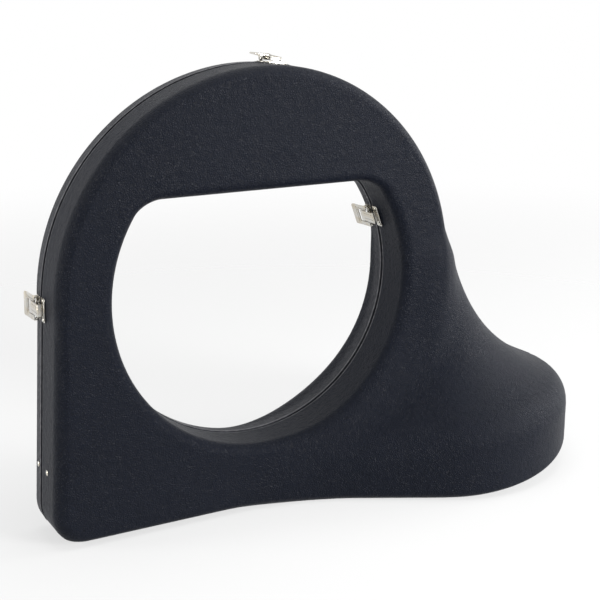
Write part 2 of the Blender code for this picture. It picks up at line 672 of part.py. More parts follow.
def mouthpiece_block(mat):
    """Padded block in the square lower left corner, with a trough for the mouthpiece."""
    low = -(FRONT_DEPTH - LINING_INSET - LINING_THICKNESS - GAP)
    length, width = BLOCK_HALF_LENGTH, BLOCK_HALF_WIDTH
    body = boxes(((-length, low, -width), (length, BLOCK_TOP, width)))
    trough = rods(((0, BLOCK_TOP, 0), TROUGH_RADIUS, TROUGH_LENGTH), sides=16)
    mesh = carved("mouthpiece_block", body, ("DIFFERENCE", trough))
    out = BLOCK_DISTANCE / math.sqrt(2)
    spot = Matrix.Translation((RING_X - out, 0, RING_Z - out)) @ Matrix.Rotation(math.radians(45), 4, "Y")
    place("mouthpiece_block", mesh, spot, mat)


def main():
    """Builds the case, piece by piece."""
    skin = material("leather_grain_skin", SKIN, 0.5)
    plush = material("plush", PLUSH, 0.95)
    nickel = material("nickel", NICKEL, 0.25, 1.0)
    trim = material("black_trim", BLACK_TRIM, 0.45)
    webbing = material("webbing", WEBBING, 0.8)
    lid = bpy.data.objects.new("lid_axis", None)
    lid.location = (0, 0, HINGE_AXIS_Z)
    CASE.objects.link(lid)
    bpy.context.view_layer.update()
    front = shell("front_shell", -1, FRONT_DEPTH, FRONT_EDGE, skin)
    back = shell("back_shell", 1, BACK_DEPTH, BACK_EDGE, skin, lid)
    front_pad = lining("front_lining", -1, FRONT_DEPTH, FRONT_EDGE, plush)
    back_pad = lining("back_lining", 1, BACK_DEPTH, BACK_EDGE, plush, lid)
    tongue("outer_tongue", True, trim)
    tongue("inner_tongue", False, trim)
    latches(nickel, lid)
    hinges(nickel, lid)
    strap = stay_strap(webbing)
    stay_rivet("stay_rivet_front", STAY_FRONT_Y, nickel, None, (front, front_pad, strap))
    stay_rivet("stay_rivet_back", STAY_BACK_Y, nickel, lid, (back, back_pad, strap))
    mouthpiece_block(plush)


for leftover in list(bpy.data.objects):
    bpy.data.objects.remove(leftover)
SCENE = bpy.context.scene
CASE = bpy.data.collections.new(CASE_NAME)
CUTTERS = bpy.data.collections.new("cutters")
SCENE.collection.children.link(CASE)
SCENE.collection.children.link(CUTTERS)
main()
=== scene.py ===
"""Looks of a hunting horn case: leather-grain shells, nickel latches and hinges, plush lining.

Everything is in metres in the frame of the solids: X runs to the bell pocket, Y to the back shell
and Z up, and the seam between the shells is the plane Y = 0.
"""

import logging
import math
from collections.abc import Callable
from dataclasses import dataclass
from enum import Enum
from functools import cache

import bmesh
import bpy
import numpy as np
from mathutils import Matrix, Vector


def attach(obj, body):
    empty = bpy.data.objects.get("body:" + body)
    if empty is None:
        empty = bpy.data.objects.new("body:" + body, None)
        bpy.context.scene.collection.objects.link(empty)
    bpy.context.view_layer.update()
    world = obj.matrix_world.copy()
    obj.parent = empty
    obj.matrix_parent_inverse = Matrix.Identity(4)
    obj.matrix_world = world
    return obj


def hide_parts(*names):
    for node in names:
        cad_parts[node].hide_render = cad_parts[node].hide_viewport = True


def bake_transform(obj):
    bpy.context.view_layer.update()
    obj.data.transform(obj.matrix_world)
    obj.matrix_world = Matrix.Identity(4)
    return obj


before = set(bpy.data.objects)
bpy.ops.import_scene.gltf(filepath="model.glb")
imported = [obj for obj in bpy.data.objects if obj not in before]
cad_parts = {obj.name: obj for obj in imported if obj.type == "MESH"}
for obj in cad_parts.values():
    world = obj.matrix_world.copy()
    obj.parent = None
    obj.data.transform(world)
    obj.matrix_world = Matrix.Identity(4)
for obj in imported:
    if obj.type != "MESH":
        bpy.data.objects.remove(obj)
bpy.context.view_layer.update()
LOG = logging.getLogger("horn_case")

Point = tuple[float, float]
Span = tuple[float, float]
Triple = tuple[float, float, float]
Outline = list[Point]
Arrays = tuple[np.ndarray, np.ndarray]
Profile = Callable[[np.ndarray], Arrays]
Mesh = bpy.types.Mesh
Object = bpy.types.Object
Material = bpy.types.Material
Node = bpy.types.Node
Group = bpy.types.NodeTree
Socket = bpy.types.NodeSocket

TINY = 1e-7
ON_EDGE = Matrix(((0, 0, 1, 0), (1, 0, 0, 0), (0, 1, 0, 0), (0, 0, 0, 1)))
LYING = Matrix.Rotation(math.pi / 2, 4, "Y")


def round_min(a: np.ndarray, b: np.ndarray, radius: float) -> np.ndarray:
    """Smaller of two distances, with the hollow corner filled to a radius."""
    overlap = np.hypot(np.maximum(radius - a, 0), np.maximum(radius - b, 0))
    return np.maximum(radius, np.minimum(a, b)) - overlap


def round_max(a: np.ndarray, b: np.ndarray, radius: float) -> np.ndarray:
    """Larger of two distances, with the outer corner rounded to a radius."""
    overlap = np.hypot(np.maximum(radius + a, 0), np.maximum(radius + b, 0))
    return np.minimum(-radius, np.maximum(a, b)) + overlap


def smoothstep(values: np.ndarray, low: float, high: float) -> np.ndarray:
    """Smooth rise from 0 at low to 1 at high."""
    t = np.clip((values - low) / (high - low), 0, 1)
    return t * t * (3 - 2 * t)


def halve(inside: Callable[[np.ndarray], np.ndarray], low: np.ndarray, high: np.ndarray,
          rounds: int = 40) -> np.ndarray:
    """Crossing between low, where inside is true, and high, where it is false."""
    for _ in range(rounds):
        middle = (low + high) / 2
        hit = inside(middle)
        low = np.where(hit, middle, low)
        high = np.where(hit, high, middle)
    return low


def running(values: np.ndarray) -> np.ndarray:
    """Running total that starts at zero and ends at one."""
    total = np.concatenate([[0], np.cumsum(values)])
    return total / total[-1]


@dataclass(eq=False)
class HalfSizes:
    """What sets one shell apart from the other.

    Attributes:
        body: Body that the shell rides on.
        side: Sign of Y on the shell's side of the seam.
        depth: Depth of the ring from the seam to its face.
        edge: Radius between the ring's wall and its face.
        lip_rise: Height of the lip's top over the skin.
        lip_highlight: Strength of the painted highlight along the lip.
        wall_reflection: Strength of the painted reflection on the wall beside the lip.
    """

    body: str
    side: int
    depth: float
    edge: float
    lip_rise: float
    lip_highlight: float
    wall_reflection: float


class Half(HalfSizes, Enum):
    """The two shells."""

    FRONT = ("front_half", -1, 0.0506, 0.0142, -0.0004, 0.85, 0.0)
    BACK = ("back_half", 1, 0.0238, 0.0090, 0.0005, 1.0, 0.22)

    @property
    def word(self) -> str:
        """First word of the names of the shell's pieces."""
        return self.name.lower()


@dataclass(frozen=True)
class CaseForm:
    """Outer form of the case as rounded distances: a ring, its opening and the bell pocket."""

    ring_x: float = -0.0844
    ring_z: float = 0.2478
    opening_radius: float = 0.1734
    opening_top: float = 0.356
    opening_corner: float = 0.0145
    ring_radius: float = 0.2333
    crown: Triple = (-0.0787, 0.255, 0.2295)
    foot_x: float = -0.3323
    foot_slant: float = 0.0607
    foot_corner: float = 0.038
    foot_top: float = 0.25
    foot_reach: float = 0.02
    bell_x: float = 0.1752
    bell_radius: float = 0.1540
    bell_tilt: float = 0.1467
    shoulder_z: float = 0.0690
    flare_neck: float = 0.0316
    flare_spread: float = 0.1537
    flare_decay: float = 0.0667
    flare_foot: float = -0.03
    neck_top: float = 0.282
    neck_edge: float = 0.030
    flank_angle: float = math.radians(28.1)
    shoulder_edge: float = 0.0190
    bottom_edge: float = 0.0097
    rise: Triple = (0.2130, 0.2727, 0.0344)
    blend_radius: float = 0.0311
    opening_edge: float = 0.0118
    circle_join: float = 0.002
    foot_join: float = 0.001
    ray_start: float = 0.2
    ray_outside: float = 0.55
    ray_inside: float = 0.05
    slope_step: float = 0.0004
    settle_step: float = 0.0002
    least_slope: float = 0.2

    def opening(self, x: np.ndarray, z: np.ndarray) -> np.ndarray:
        """Distance to the opening's edge, negative inside it: a circle with a flat top."""
        circle = np.hypot(x - self.ring_x, z - self.ring_z) - self.opening_radius
        return round_max(circle, z - self.opening_top, self.opening_corner)

    def ring(self, x: np.ndarray, z: np.ndarray) -> np.ndarray:
        """Distance to the ring's outer edge: two circles over a square foot at the lower left."""
        crown = np.hypot(x - self.crown[0], z - self.crown[1]) - self.crown[2]
        circle = np.hypot(x - self.ring_x, z - self.ring_z) - self.ring_radius
        side = (self.foot_x + self.foot_slant * z - x) / math.hypot(1, self.foot_slant)
        limits = np.maximum(z - self.foot_top, x - self.foot_reach)
        foot = np.maximum(round_max(side, -z, self.foot_corner), limits)
        return round_min(round_min(crown, circle, self.circle_join), foot, self.foot_join)

    def pocket(self, across: np.ndarray, y: np.ndarray) -> np.ndarray:
        """Horizontal section of the bell pocket: a circle, with a straight flank on its left."""
        sin, cos = math.sin(self.flank_angle), math.cos(self.flank_angle)
        return np.where(across * cos + y * sin < 0, y * cos - across * sin, np.hypot(across, y))

    def bell(self, x: np.ndarray, y: np.ndarray, z: np.ndarray) -> np.ndarray:
        """Distance to the bell pocket: an upright wall under a flare that leans to the ring."""
        wall = self.pocket(x - self.bell_x, y) - self.bell_radius
        tilt = math.atan(self.bell_tilt)
        along = (z - self.shoulder_z - self.bell_tilt * (x - self.bell_x)) * math.cos(tilt)
        across = (x - self.bell_x) * math.cos(tilt) + z * math.sin(tilt)
        growth = self.flare_spread * np.exp(-np.maximum(along, self.flare_foot) / self.flare_decay)
        slope = np.sqrt(1 + (growth / self.flare_decay) ** 2)
        flare = (self.pocket(across, y) - self.flare_neck - growth) / slope
        body = round_max(wall, flare, self.shoulder_edge)
        return round_max(body, z - self.neck_top, self.neck_edge)

    def floor(self, x: np.ndarray, z: np.ndarray) -> np.ndarray:
        """Distance below the bottom, which is flat and then rises under the pocket's right end."""
        start, slope, join = self.rise
        rising = (slope * (x - start) - z) / math.hypot(1, slope)
        return round_max(-z, rising, join)

    def distance(self, x: np.ndarray, y: np.ndarray, z: np.ndarray, half: Half) -> np.ndarray:
        """Distance to the whole form of one shell, where y is the distance from the seam."""
        ring = round_max(self.ring(x, z), y - half.depth, half.edge)
        joined = round_min(ring, self.bell(x, y, z), self.blend_radius)
        joined = round_max(joined, self.floor(x, z), self.bottom_edge)
        return round_max(joined, -self.opening(x, z), self.opening_edge)

    def edge_points(self, angles: np.ndarray, outer: bool, level: float = 0.0) -> Arrays:
        """Points of an edge in the seam and the normals there.

        Args:
            angles: Directions of rays from the ring's centre.
            outer: True for the outer edge, False for the opening's.
            level: Distance from the skin, negative towards the inside of the wall.

        Returns:
            Arrays of (x, z) points and of outward unit normals.
        """
        cos, sin = np.cos(angles), np.sin(angles)
        core = np.full(angles.shape, self.ray_start)
        far = np.full(angles.shape, self.ray_outside if outer else self.ray_inside)

        def height(x: np.ndarray, z: np.ndarray) -> np.ndarray:
            return self.distance(x, 0 * x, z, Half.BACK)

        radius = halve(lambda r: height(self.ring_x + r * cos, self.ring_z + r * sin) < level, core, far)
        x, z = self.ring_x + radius * cos, self.ring_z + radius * sin
        step = self.slope_step
        slope_x = height(x + step, z) - height(x - step, z)
        slope_z = height(x, z + step) - height(x, z - step)
        slope = np.stack([slope_x, slope_z], -1)
        return np.stack([x, z], -1), slope / np.linalg.norm(slope, axis=1)[:, None]

    def settle(self, points: np.ndarray, half: Half, level: float, rounds: int = 3) -> np.ndarray:
        """Moves points straight onto a skin.

        Args:
            points: Array of (x, distance from the seam, z) points near the skin.
            half: Shell that they belong to.
            level: Distance of the wanted skin from the outer one.
            rounds: Number of steps.

        Returns:
            Array of the moved points.
        """
        step = self.settle_step
        for _ in range(rounds):
            x, y, z = points[..., 0], points[..., 1], points[..., 2]
            slope = np.stack([
                self.distance(x + step, y, z, half) - self.distance(x - step, y, z, half),
                self.distance(x, y + step, z, half) - self.distance(x, y - step, z, half),
                self.distance(x, y, z + step, half) - self.distance(x, y, z - step, half),
            ], -1) / (2 * step)
            miss = self.distance(x, y, z, half) - level
            steepness = np.maximum((slope ** 2).sum(-1), self.least_slope)
            points = points - (miss / steepness)[..., None] * slope
        return points

    def frame_on_edge(self, angle: float, outer: bool, seat: float) -> Matrix:
        """Matrix of a fitting on an edge.

        Args:
            angle: Direction in degrees from the ring's centre.
            outer: True on the outer edge, False on the opening's.
            seat: Height of the fitting's underside over the skin.

        Returns:
            Matrix with X along the edge, Y to the back shell and Z out of the skin.
        """
        points, normals = self.edge_points(np.array([math.radians(angle)]), outer)
        normal = Vector((normals[0, 0], 0, normals[0, 1]))
        along = Vector((normal.z, 0, -normal.x))
        origin = Vector((points[0, 0], 0, points[0, 1])) + normal * seat
        return Matrix.Translation(origin) @ Matrix((along, (0, 1, 0), normal)).transposed().to_4x4()

    def frame_on_foot(self, y: float, z: float) -> Matrix:
        """Matrix on the straight wall at the lower left: X up the wall, Y back and Z out of it."""
        lean = math.atan(self.foot_slant)
        upward = Vector((math.sin(lean), 0, math.cos(lean)))
        outward = Vector((-math.cos(lean), 0, math.sin(lean)))
        turn = Matrix((upward, (0, 1, 0), outward)).transposed().to_4x4()
        return Matrix.Translation((self.foot_x + self.foot_slant * z, y, z)) @ turn


FORM = CaseForm()


@dataclass(frozen=True)
class Seam:
    """Sizes of the seam that both shells, the tongues and the hinges share."""

    gap: float = 0.0003
    wall: float = 0.003
    groove: float = 0.005
    groove_facing: float = 0.55
    groove_fade: float = 0.35
    slot_half: float = 0.0012
    slot_depth: float = 0.0024
    slot_corner: float = 0.0001
    lip_round: float = 0.0006
    lip_top: float = 0.0026
    lip_end: float = 0.0040
    groove_end: float = 0.0056
    hinge_axis_z: float = 0.0019

    def groove_share(self, normals: np.ndarray, facing: float = groove_facing) -> np.ndarray:
        """How much of the hinge groove an edge has: all of it where the edge faces down."""
        return np.clip((-normals[:, 1] - facing) / self.groove_fade, 0, 1)

    def lip(self, rise: float) -> Arrays:
        """Section of a lip from the bottom of the dark slot over its rounded corner to the skin.

        Args:
            rise: Height of the lip's top over the skin, negative where it is set back.

        Returns:
            Heights over the skin and distances from the seam, without the last point on the skin.
        """
        turn = np.linspace(math.pi, math.pi / 2, 6)
        corner_y = self.slot_half + self.lip_round * (1 + np.cos(turn))
        corner = rise - self.lip_round * (1 - np.sin(turn))
        fade = np.linspace(0, 1, 6)[:-1]
        fade_y = self.lip_top + (self.lip_end - self.lip_top) * fade
        fall = rise * (1 - smoothstep(fade, 0, 1))
        foot_y = [self.gap / 2, self.slot_half - 3 * self.slot_corner, self.slot_half - self.slot_corner]
        foot = [-self.slot_depth, -self.slot_depth, 2 * self.slot_corner - self.slot_depth]
        return np.array([*foot, *corner, *fall]), np.array([*foot_y, *corner_y, *fade_y])


SEAM = Seam()


class Stations:
    """Directions of the stations round the ring, closer where an edge bends and at the latches."""

    DENSE = np.radians(np.linspace(-90, 270, 2881))
    LATCH_SPREAD = 5.5
    LENGTH_SHARE = 0.30
    OUTER_SHARE = 0.24
    INNER_SHARE = 0.18
    LATCH_SHARE = 0.28
    BLUR = 20

    @staticmethod
    def sweep(points: np.ndarray) -> np.ndarray:
        """Root of the curvature times the length, for each step of a line."""
        steps = np.diff(points, axis=0)
        lengths = np.linalg.norm(steps, axis=1)
        heading = steps / lengths[:, None]
        turn = np.arccos(np.clip((heading[1:] * heading[:-1]).sum(axis=1), -1, 1))
        return np.sqrt(np.append(turn, 0) * lengths)

    @classmethod
    def angles(cls, count: int) -> np.ndarray:
        """Angles of the stations.

        Args:
            count: Number of stations in the full turn.

        Returns:
            Array of angles in radians.
        """
        outer, _ = FORM.edge_points(cls.DENSE, True)
        inner, _ = FORM.edge_points(cls.DENSE, False)
        degrees = np.degrees(cls.DENSE[1:])
        latch = sum(np.exp(-((degrees - site.angle) / cls.LATCH_SPREAD) ** 4) for site in LatchSite)
        length = np.linalg.norm(np.diff(outer, axis=0), axis=1)
        measure = (cls.LENGTH_SHARE * running(length) + cls.OUTER_SHARE * running(cls.sweep(outer))
                   + cls.INNER_SHARE * running(cls.sweep(inner)) + cls.LATCH_SHARE * running(latch))
        smooth = blur_round(np.diff(measure), cls.BLUR)
        return np.interp(np.arange(count) / count, running(smooth), cls.DENSE)


@dataclass(eq=False)
class SiteSizes:
    """Angle in degrees from the ring's centre, which edge, and the seat's height over the skin."""

    angle: float
    outer: bool
    seat: float


class LatchSite(SiteSizes, Enum):
    """Where the latches sit."""

    TOP = (82.5, True, 0.00035)
    LEFT = (180.0, True, 0.00035)
    RIGHT_INNER = (20.0, False, 0.0012)
    LEFT_INNER = (160.0, False, 0.0012)

    @property
    def word(self) -> str:
        """Words that name the latch."""
        return self.name.lower()

    def matrix(self) -> Matrix:
        """Frame of the latch on its edge."""
        return FORM.frame_on_edge(self.angle, self.outer, self.seat)


def blur_round(values: np.ndarray, width: int) -> np.ndarray:
    """Smooths rows of values across the stations, which close on themselves."""
    kernel = np.hanning(2 * width + 1)
    kernel /= kernel.sum()
    total = np.zeros_like(values)
    for shift, weight in zip(range(-width, width + 1), kernel):
        total += weight * np.roll(values, shift, axis=0)
    return total


def relaxed(lines: np.ndarray, rounds: int) -> np.ndarray:
    """Smooths the points of each line between its ends."""
    for _ in range(rounds):
        lines[..., 1:-1, :] = (lines[..., :-2, :] + 2 * lines[..., 1:-1, :] + lines[..., 2:, :]) / 4
    return lines


def skin_lines(half: Half, level: float, angles: np.ndarray, rows: int, start: np.ndarray,
               last: float) -> np.ndarray:
    """Lines of points over one skin, one line a station, from the outer edge to the opening.

    Args:
        half: Shell whose skin it is.
        level: Distance from the outer skin, negative inside the wall.
        angles: Station angles.
        rows: Points on each line.
        start: Distance from the seam where each line begins, at the outer edge.
        last: Distance from the seam where the lines end, at the opening.

    Returns:
        Array (stations, rows, 3) of x, distance from the seam, and z.
    """
    flat_step, round_share, trials, blur = 0.0035, 79.0, 241, 5
    reach, clear = 0.2, 0.0008
    outer, _ = FORM.edge_points(angles, True, level)
    inner, _ = FORM.edge_points(angles, False, level)
    t = (1 - np.cos(np.linspace(0, math.pi, trials)[1:-1])) / 2
    path = outer[:, None, :] + t[None, :, None] * (inner - outer)[:, None, :]
    x, z = path[..., 0], path[..., 1]
    height = halve(lambda y: FORM.distance(x, y, z, half) < level, 0 * x, 0 * x + reach)
    height = np.maximum(height, start[:, None] + t * (last - start[:, None]) + clear)
    height = np.column_stack([start, height[:, :1], height, height[:, -1:], np.full(len(angles), last)])
    path = np.concatenate([outer[:, None], outer[:, None], path, inner[:, None], inner[:, None]], axis=1)
    lines = np.stack([path[..., 0], height, path[..., 1]], -1)
    steps = np.diff(lines, axis=1)
    lengths = np.maximum(np.linalg.norm(steps, axis=2), TINY)
    heading = steps / lengths[..., None]
    turn = np.arccos(np.clip((heading[:, 1:] * heading[:, :-1]).sum(-1), -1, 1))
    turn = np.pad(turn, ((0, 0), (0, 1)))
    shares = lengths / flat_step + round_share * np.sqrt(turn * lengths)
    along = [running(row) for row in lengths]
    wanted = np.linspace(0, 1, rows)
    spots = np.array([np.interp(wanted, running(row), done) for row, done in zip(shares, along)])
    placed = np.array([
        np.stack([np.interp(spot, done, line[:, i]) for i in range(3)], -1)
        for spot, done, line in zip(blur_round(spots, blur), along, lines)
    ])
    placed[:, 1:-1] = FORM.settle(placed[:, 1:-1], half, level)
    return placed


def edge_rows(angles: np.ndarray, outer: bool, profile: Profile, level: float = 0.0) -> np.ndarray:
    """Rows of points along an edge.

    Args:
        angles: Station angles.
        outer: True for the outer edge, False for the opening's.
        profile: Function of the normals that gives the heights over the edge and the distances
            from the seam, each as an array (stations, rows).
        level: Distance of the edge from the outer skin.

    Returns:
        Array (stations, rows, 3) of x, distance from the seam, and z.
    """
    points, normals = FORM.edge_points(angles, outer, level)
    height, y = profile(normals)
    x = points[:, 0, None] + normals[:, 0, None] * height
    z = points[:, 1, None] + normals[:, 1, None] * height
    return np.stack([x, y, z], -1)


def loft(name: str, lines: np.ndarray, side: int, closed_rows: bool = True) -> Object:
    """Object with a surface through lines of points that close round the ring.

    Args:
        name: Name of the object.
        lines: Array (stations, rows, 3) of x, distance from the seam, and z.
        side: Sign of Y on the object's side of the seam.
        closed_rows: Whether the last row meets the first.

    Returns:
        The new object, linked to the scene.
    """
    stations, rows, _ = lines.shape
    verts = lines.reshape(-1, 3) * np.array([1, side, 1])
    here = np.arange(stations)[:, None] * rows + np.arange(rows)[None, :]
    if closed_rows:
        here = np.concatenate([here, here[:, :1]], axis=1)
    there = np.roll(here, -1, axis=0)
    quads = np.stack([here[:, :-1], here[:, 1:], there[:, 1:], there[:, :-1]], -1).reshape(-1, 4)
    if side < 0:
        quads = quads[:, ::-1]
    mesh = bpy.data.meshes.new(name)
    mesh.from_pydata(verts.tolist(), [], quads.tolist())
    mesh.shade_smooth()
    return link(name, mesh)


def link(name: str, mesh: Mesh, matrix: Matrix = Matrix.Identity(4)) -> Object:
    """Puts a mesh in the scene as an object of its own."""
    obj = bpy.data.objects.new(name, mesh)
    obj.matrix_world = matrix
    bpy.context.scene.collection.objects.link(obj)
    return obj


def hand_over(obj: Object, material: Material, body: str, slot: str, *nodes: str) -> None:
    """Finishes a piece: its material, the body it rides on and the solids it stands for."""
    obj.data.materials.clear()
    obj.data.materials.append(material)
    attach(obj, body)
    if nodes:
        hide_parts(*nodes)
    LOG.info("%s: %d faces on %s", obj.name, len(obj.data.polygons), body)


def paint_mask(mesh: Mesh, name: str, values: np.ndarray) -> None:
    """Stores one number a vertex, for the materials to read."""
    layer = mesh.attributes.new(name, "FLOAT", "POINT")
    layer.data.foreach_set("value", np.asarray(values, dtype=np.float32).ravel())


def arc(centre: Point, radius: float, start: float, end: float, steps: int) -> Outline:
    """Points on an arc, its angles given in degrees."""
    turns = np.radians(np.linspace(start, end, steps))
    return [(centre[0] + radius * math.cos(a), centre[1] + radius * math.sin(a)) for a in turns]


def filleted(corners: list[Triple], steps: int = 6) -> Outline:
    """Closed outline with rounded corners.

    Args:
        corners: Corners as x, y and radius.
        steps: Points on each rounded corner.

    Returns:
        Points of the outline.
    """
    points = []
    count = len(corners)
    for k, (x, y, radius) in enumerate(corners):
        here = Vector((x, y))
        before = (Vector(corners[k - 1][:2]) - here).normalized()
        after = (Vector(corners[(k + 1) % count][:2]) - here).normalized()
        if radius <= 0:
            points.append((x, y))
            continue
        half_turn = before.angle(after) / 2
        reach = radius / math.tan(half_turn)
        middle = here + (before + after).normalized() * (radius / math.sin(half_turn))
        first, last = here + before * reach - middle, here + after * reach - middle
        sweep = first.angle_signed(last)
        for i in range(steps):
            turned = first.copy()
            turned.rotate(Matrix.Rotation(-sweep * i / (steps - 1), 2))
            points.append(tuple(middle + turned))
    return points


def box_outline(x0: float, y0: float, x1: float, y1: float, radius: float) -> Outline:
    """Rectangle with rounded corners."""
    return filleted([(x0, y0, radius), (x1, y0, radius), (x1, y1, radius), (x0, y1, radius)])


def plate(outline: Outline, low: float, high: float, bevel: float = 0.00012,
          holes: tuple[Outline, ...] = ()) -> Mesh:
    """Flat plate with eased edges.

    Args:
        outline: Points of its outer edge in X and Y.
        low: Height of its underside.
        high: Height of its top.
        bevel: Width of the eased edge.
        holes: Outlines of its holes.

    Returns:
        Mesh of the plate, closed.
    """
    curve = bpy.data.curves.new("plate", "CURVE")
    curve.dimensions = "2D"
    curve.fill_mode = "BOTH"
    curve.extrude = (high - low) / 2 - bevel
    curve.bevel_depth = bevel
    curve.bevel_resolution = 1
    curve.offset = -bevel
    for points in (outline, *holes):
        spline = curve.splines.new("POLY")
        spline.points.add(len(points) - 1)
        spline.points.foreach_set("co", [v for x, y in points for v in (x, y, 0, 1)])
        spline.use_cyclic_u = True
    holder = bpy.data.objects.new("plate", curve)
    bpy.context.scene.collection.objects.link(holder)
    bpy.context.view_layer.update()
    mesh = bpy.data.meshes.new_from_object(holder.evaluated_get(bpy.context.evaluated_depsgraph_get()))
    bpy.data.objects.remove(holder)
    bpy.data.curves.remove(curve)
    mesh.transform(Matrix.Translation((0, 0, (low + high) / 2)))
    return mesh


def cheek(outline: Outline, x: float, thickness: float, bevel: float = 0.00012,
          holes: tuple[Outline, ...] = ()) -> Mesh:
    """Upright plate across X whose outline is given in Y and Z."""
    mesh = plate(outline, x - thickness / 2, x + thickness / 2, bevel, holes)
    mesh.transform(ON_EDGE)
    return mesh


def made_mesh(build: bmesh.types.BMesh, name: str) -> Mesh:
    """Mesh of what a build holds, which is used up."""
    mesh = bpy.data.meshes.new(name)
    build.to_mesh(mesh)
    build.free()
    return mesh


def turned(profile: Outline, sides: int = 40) -> Mesh:
    """Turned piece about Z: a profile of radius and height from its top to its bottom."""
    build = bmesh.new()
    verts = [build.verts.new((radius, 0, height)) for radius, height in profile]
    edges = [build.edges.new(pair) for pair in zip(verts, verts[1:])]
    bmesh.ops.spin(build, geom=[*verts, *edges], axis=(0, 0, 1), cent=(0, 0, 0), angle=math.tau,
                   steps=sides, use_duplicate=False)
    bmesh.ops.remove_doubles(build, verts=build.verts, dist=TINY)
    bmesh.ops.recalc_face_normals(build, faces=build.faces)
    return made_mesh(build, "turned")


def dome(head: float, rise: float, seat: float, steps: int) -> Outline:
    """Profile of a domed head from its top to its rim, for a head that sits at a height."""
    turns = np.linspace(0, math.pi / 2, steps)[1:]
    return [(0.0, seat + rise), *((head * math.sin(a), seat + rise * math.cos(a)) for a in turns)]


def pin_mesh(name: str, radius: float, length: float, ease: float = 0.0002) -> Mesh:
    """Round pin along X with eased, slightly domed ends."""
    half = length / 2
    end = [(0, half), (radius * 0.6, half - ease * 0.2), (radius - ease * 0.5, half - ease * 0.5),
           (radius, half - ease * 1.5)]
    mesh = turned(end + [(r, -height) for r, height in end[::-1]], 24)
    mesh.transform(LYING)
    return joined(name, [mesh])


def joined(name: str, parts: list[Mesh], sharp: float = 32.0) -> Mesh:
    """One mesh of several, with welded seams and the sharp edges kept.

    Args:
        name: Name of the mesh.
        parts: Meshes to join. They are used up.
        sharp: Angle in degrees over which an edge stays sharp.

    Returns:
        The joined mesh.
    """
    build = bmesh.new()
    for part in parts:
        build.from_mesh(part)
        bpy.data.meshes.remove(part)
    bmesh.ops.remove_doubles(build, verts=build.verts, dist=2 * TINY)
    bmesh.ops.dissolve_degenerate(build, edges=build.edges, dist=TINY)
    bmesh.ops.recalc_face_normals(build, faces=build.faces)
    mesh = made_mesh(build, name)
    mesh.shade_smooth()
    mesh.set_sharp_from_angle(angle=math.radians(sharp))
    return mesh


def bend_end(mesh: Mesh, start: float, end: float, lift: float) -> None:
    """Curls the end of a plate that lies along Y: it rises by lift from start to end."""
    build = bmesh.new()
    build.from_mesh(mesh)
    for y in np.linspace(start, end, 7)[:-1]:
        geometry = [*build.verts, *build.edges, *build.faces]
        bmesh.ops.bisect_plane(build, geom=geometry, plane_co=(0, y, 0), plane_no=(0, 1, 0), dist=TINY)
    for vert in build.verts:
        t = max(0.0, (vert.co.y - start) / (end - start))
        vert.co.z += lift * t * t
    build.to_mesh(mesh)
    build.free()


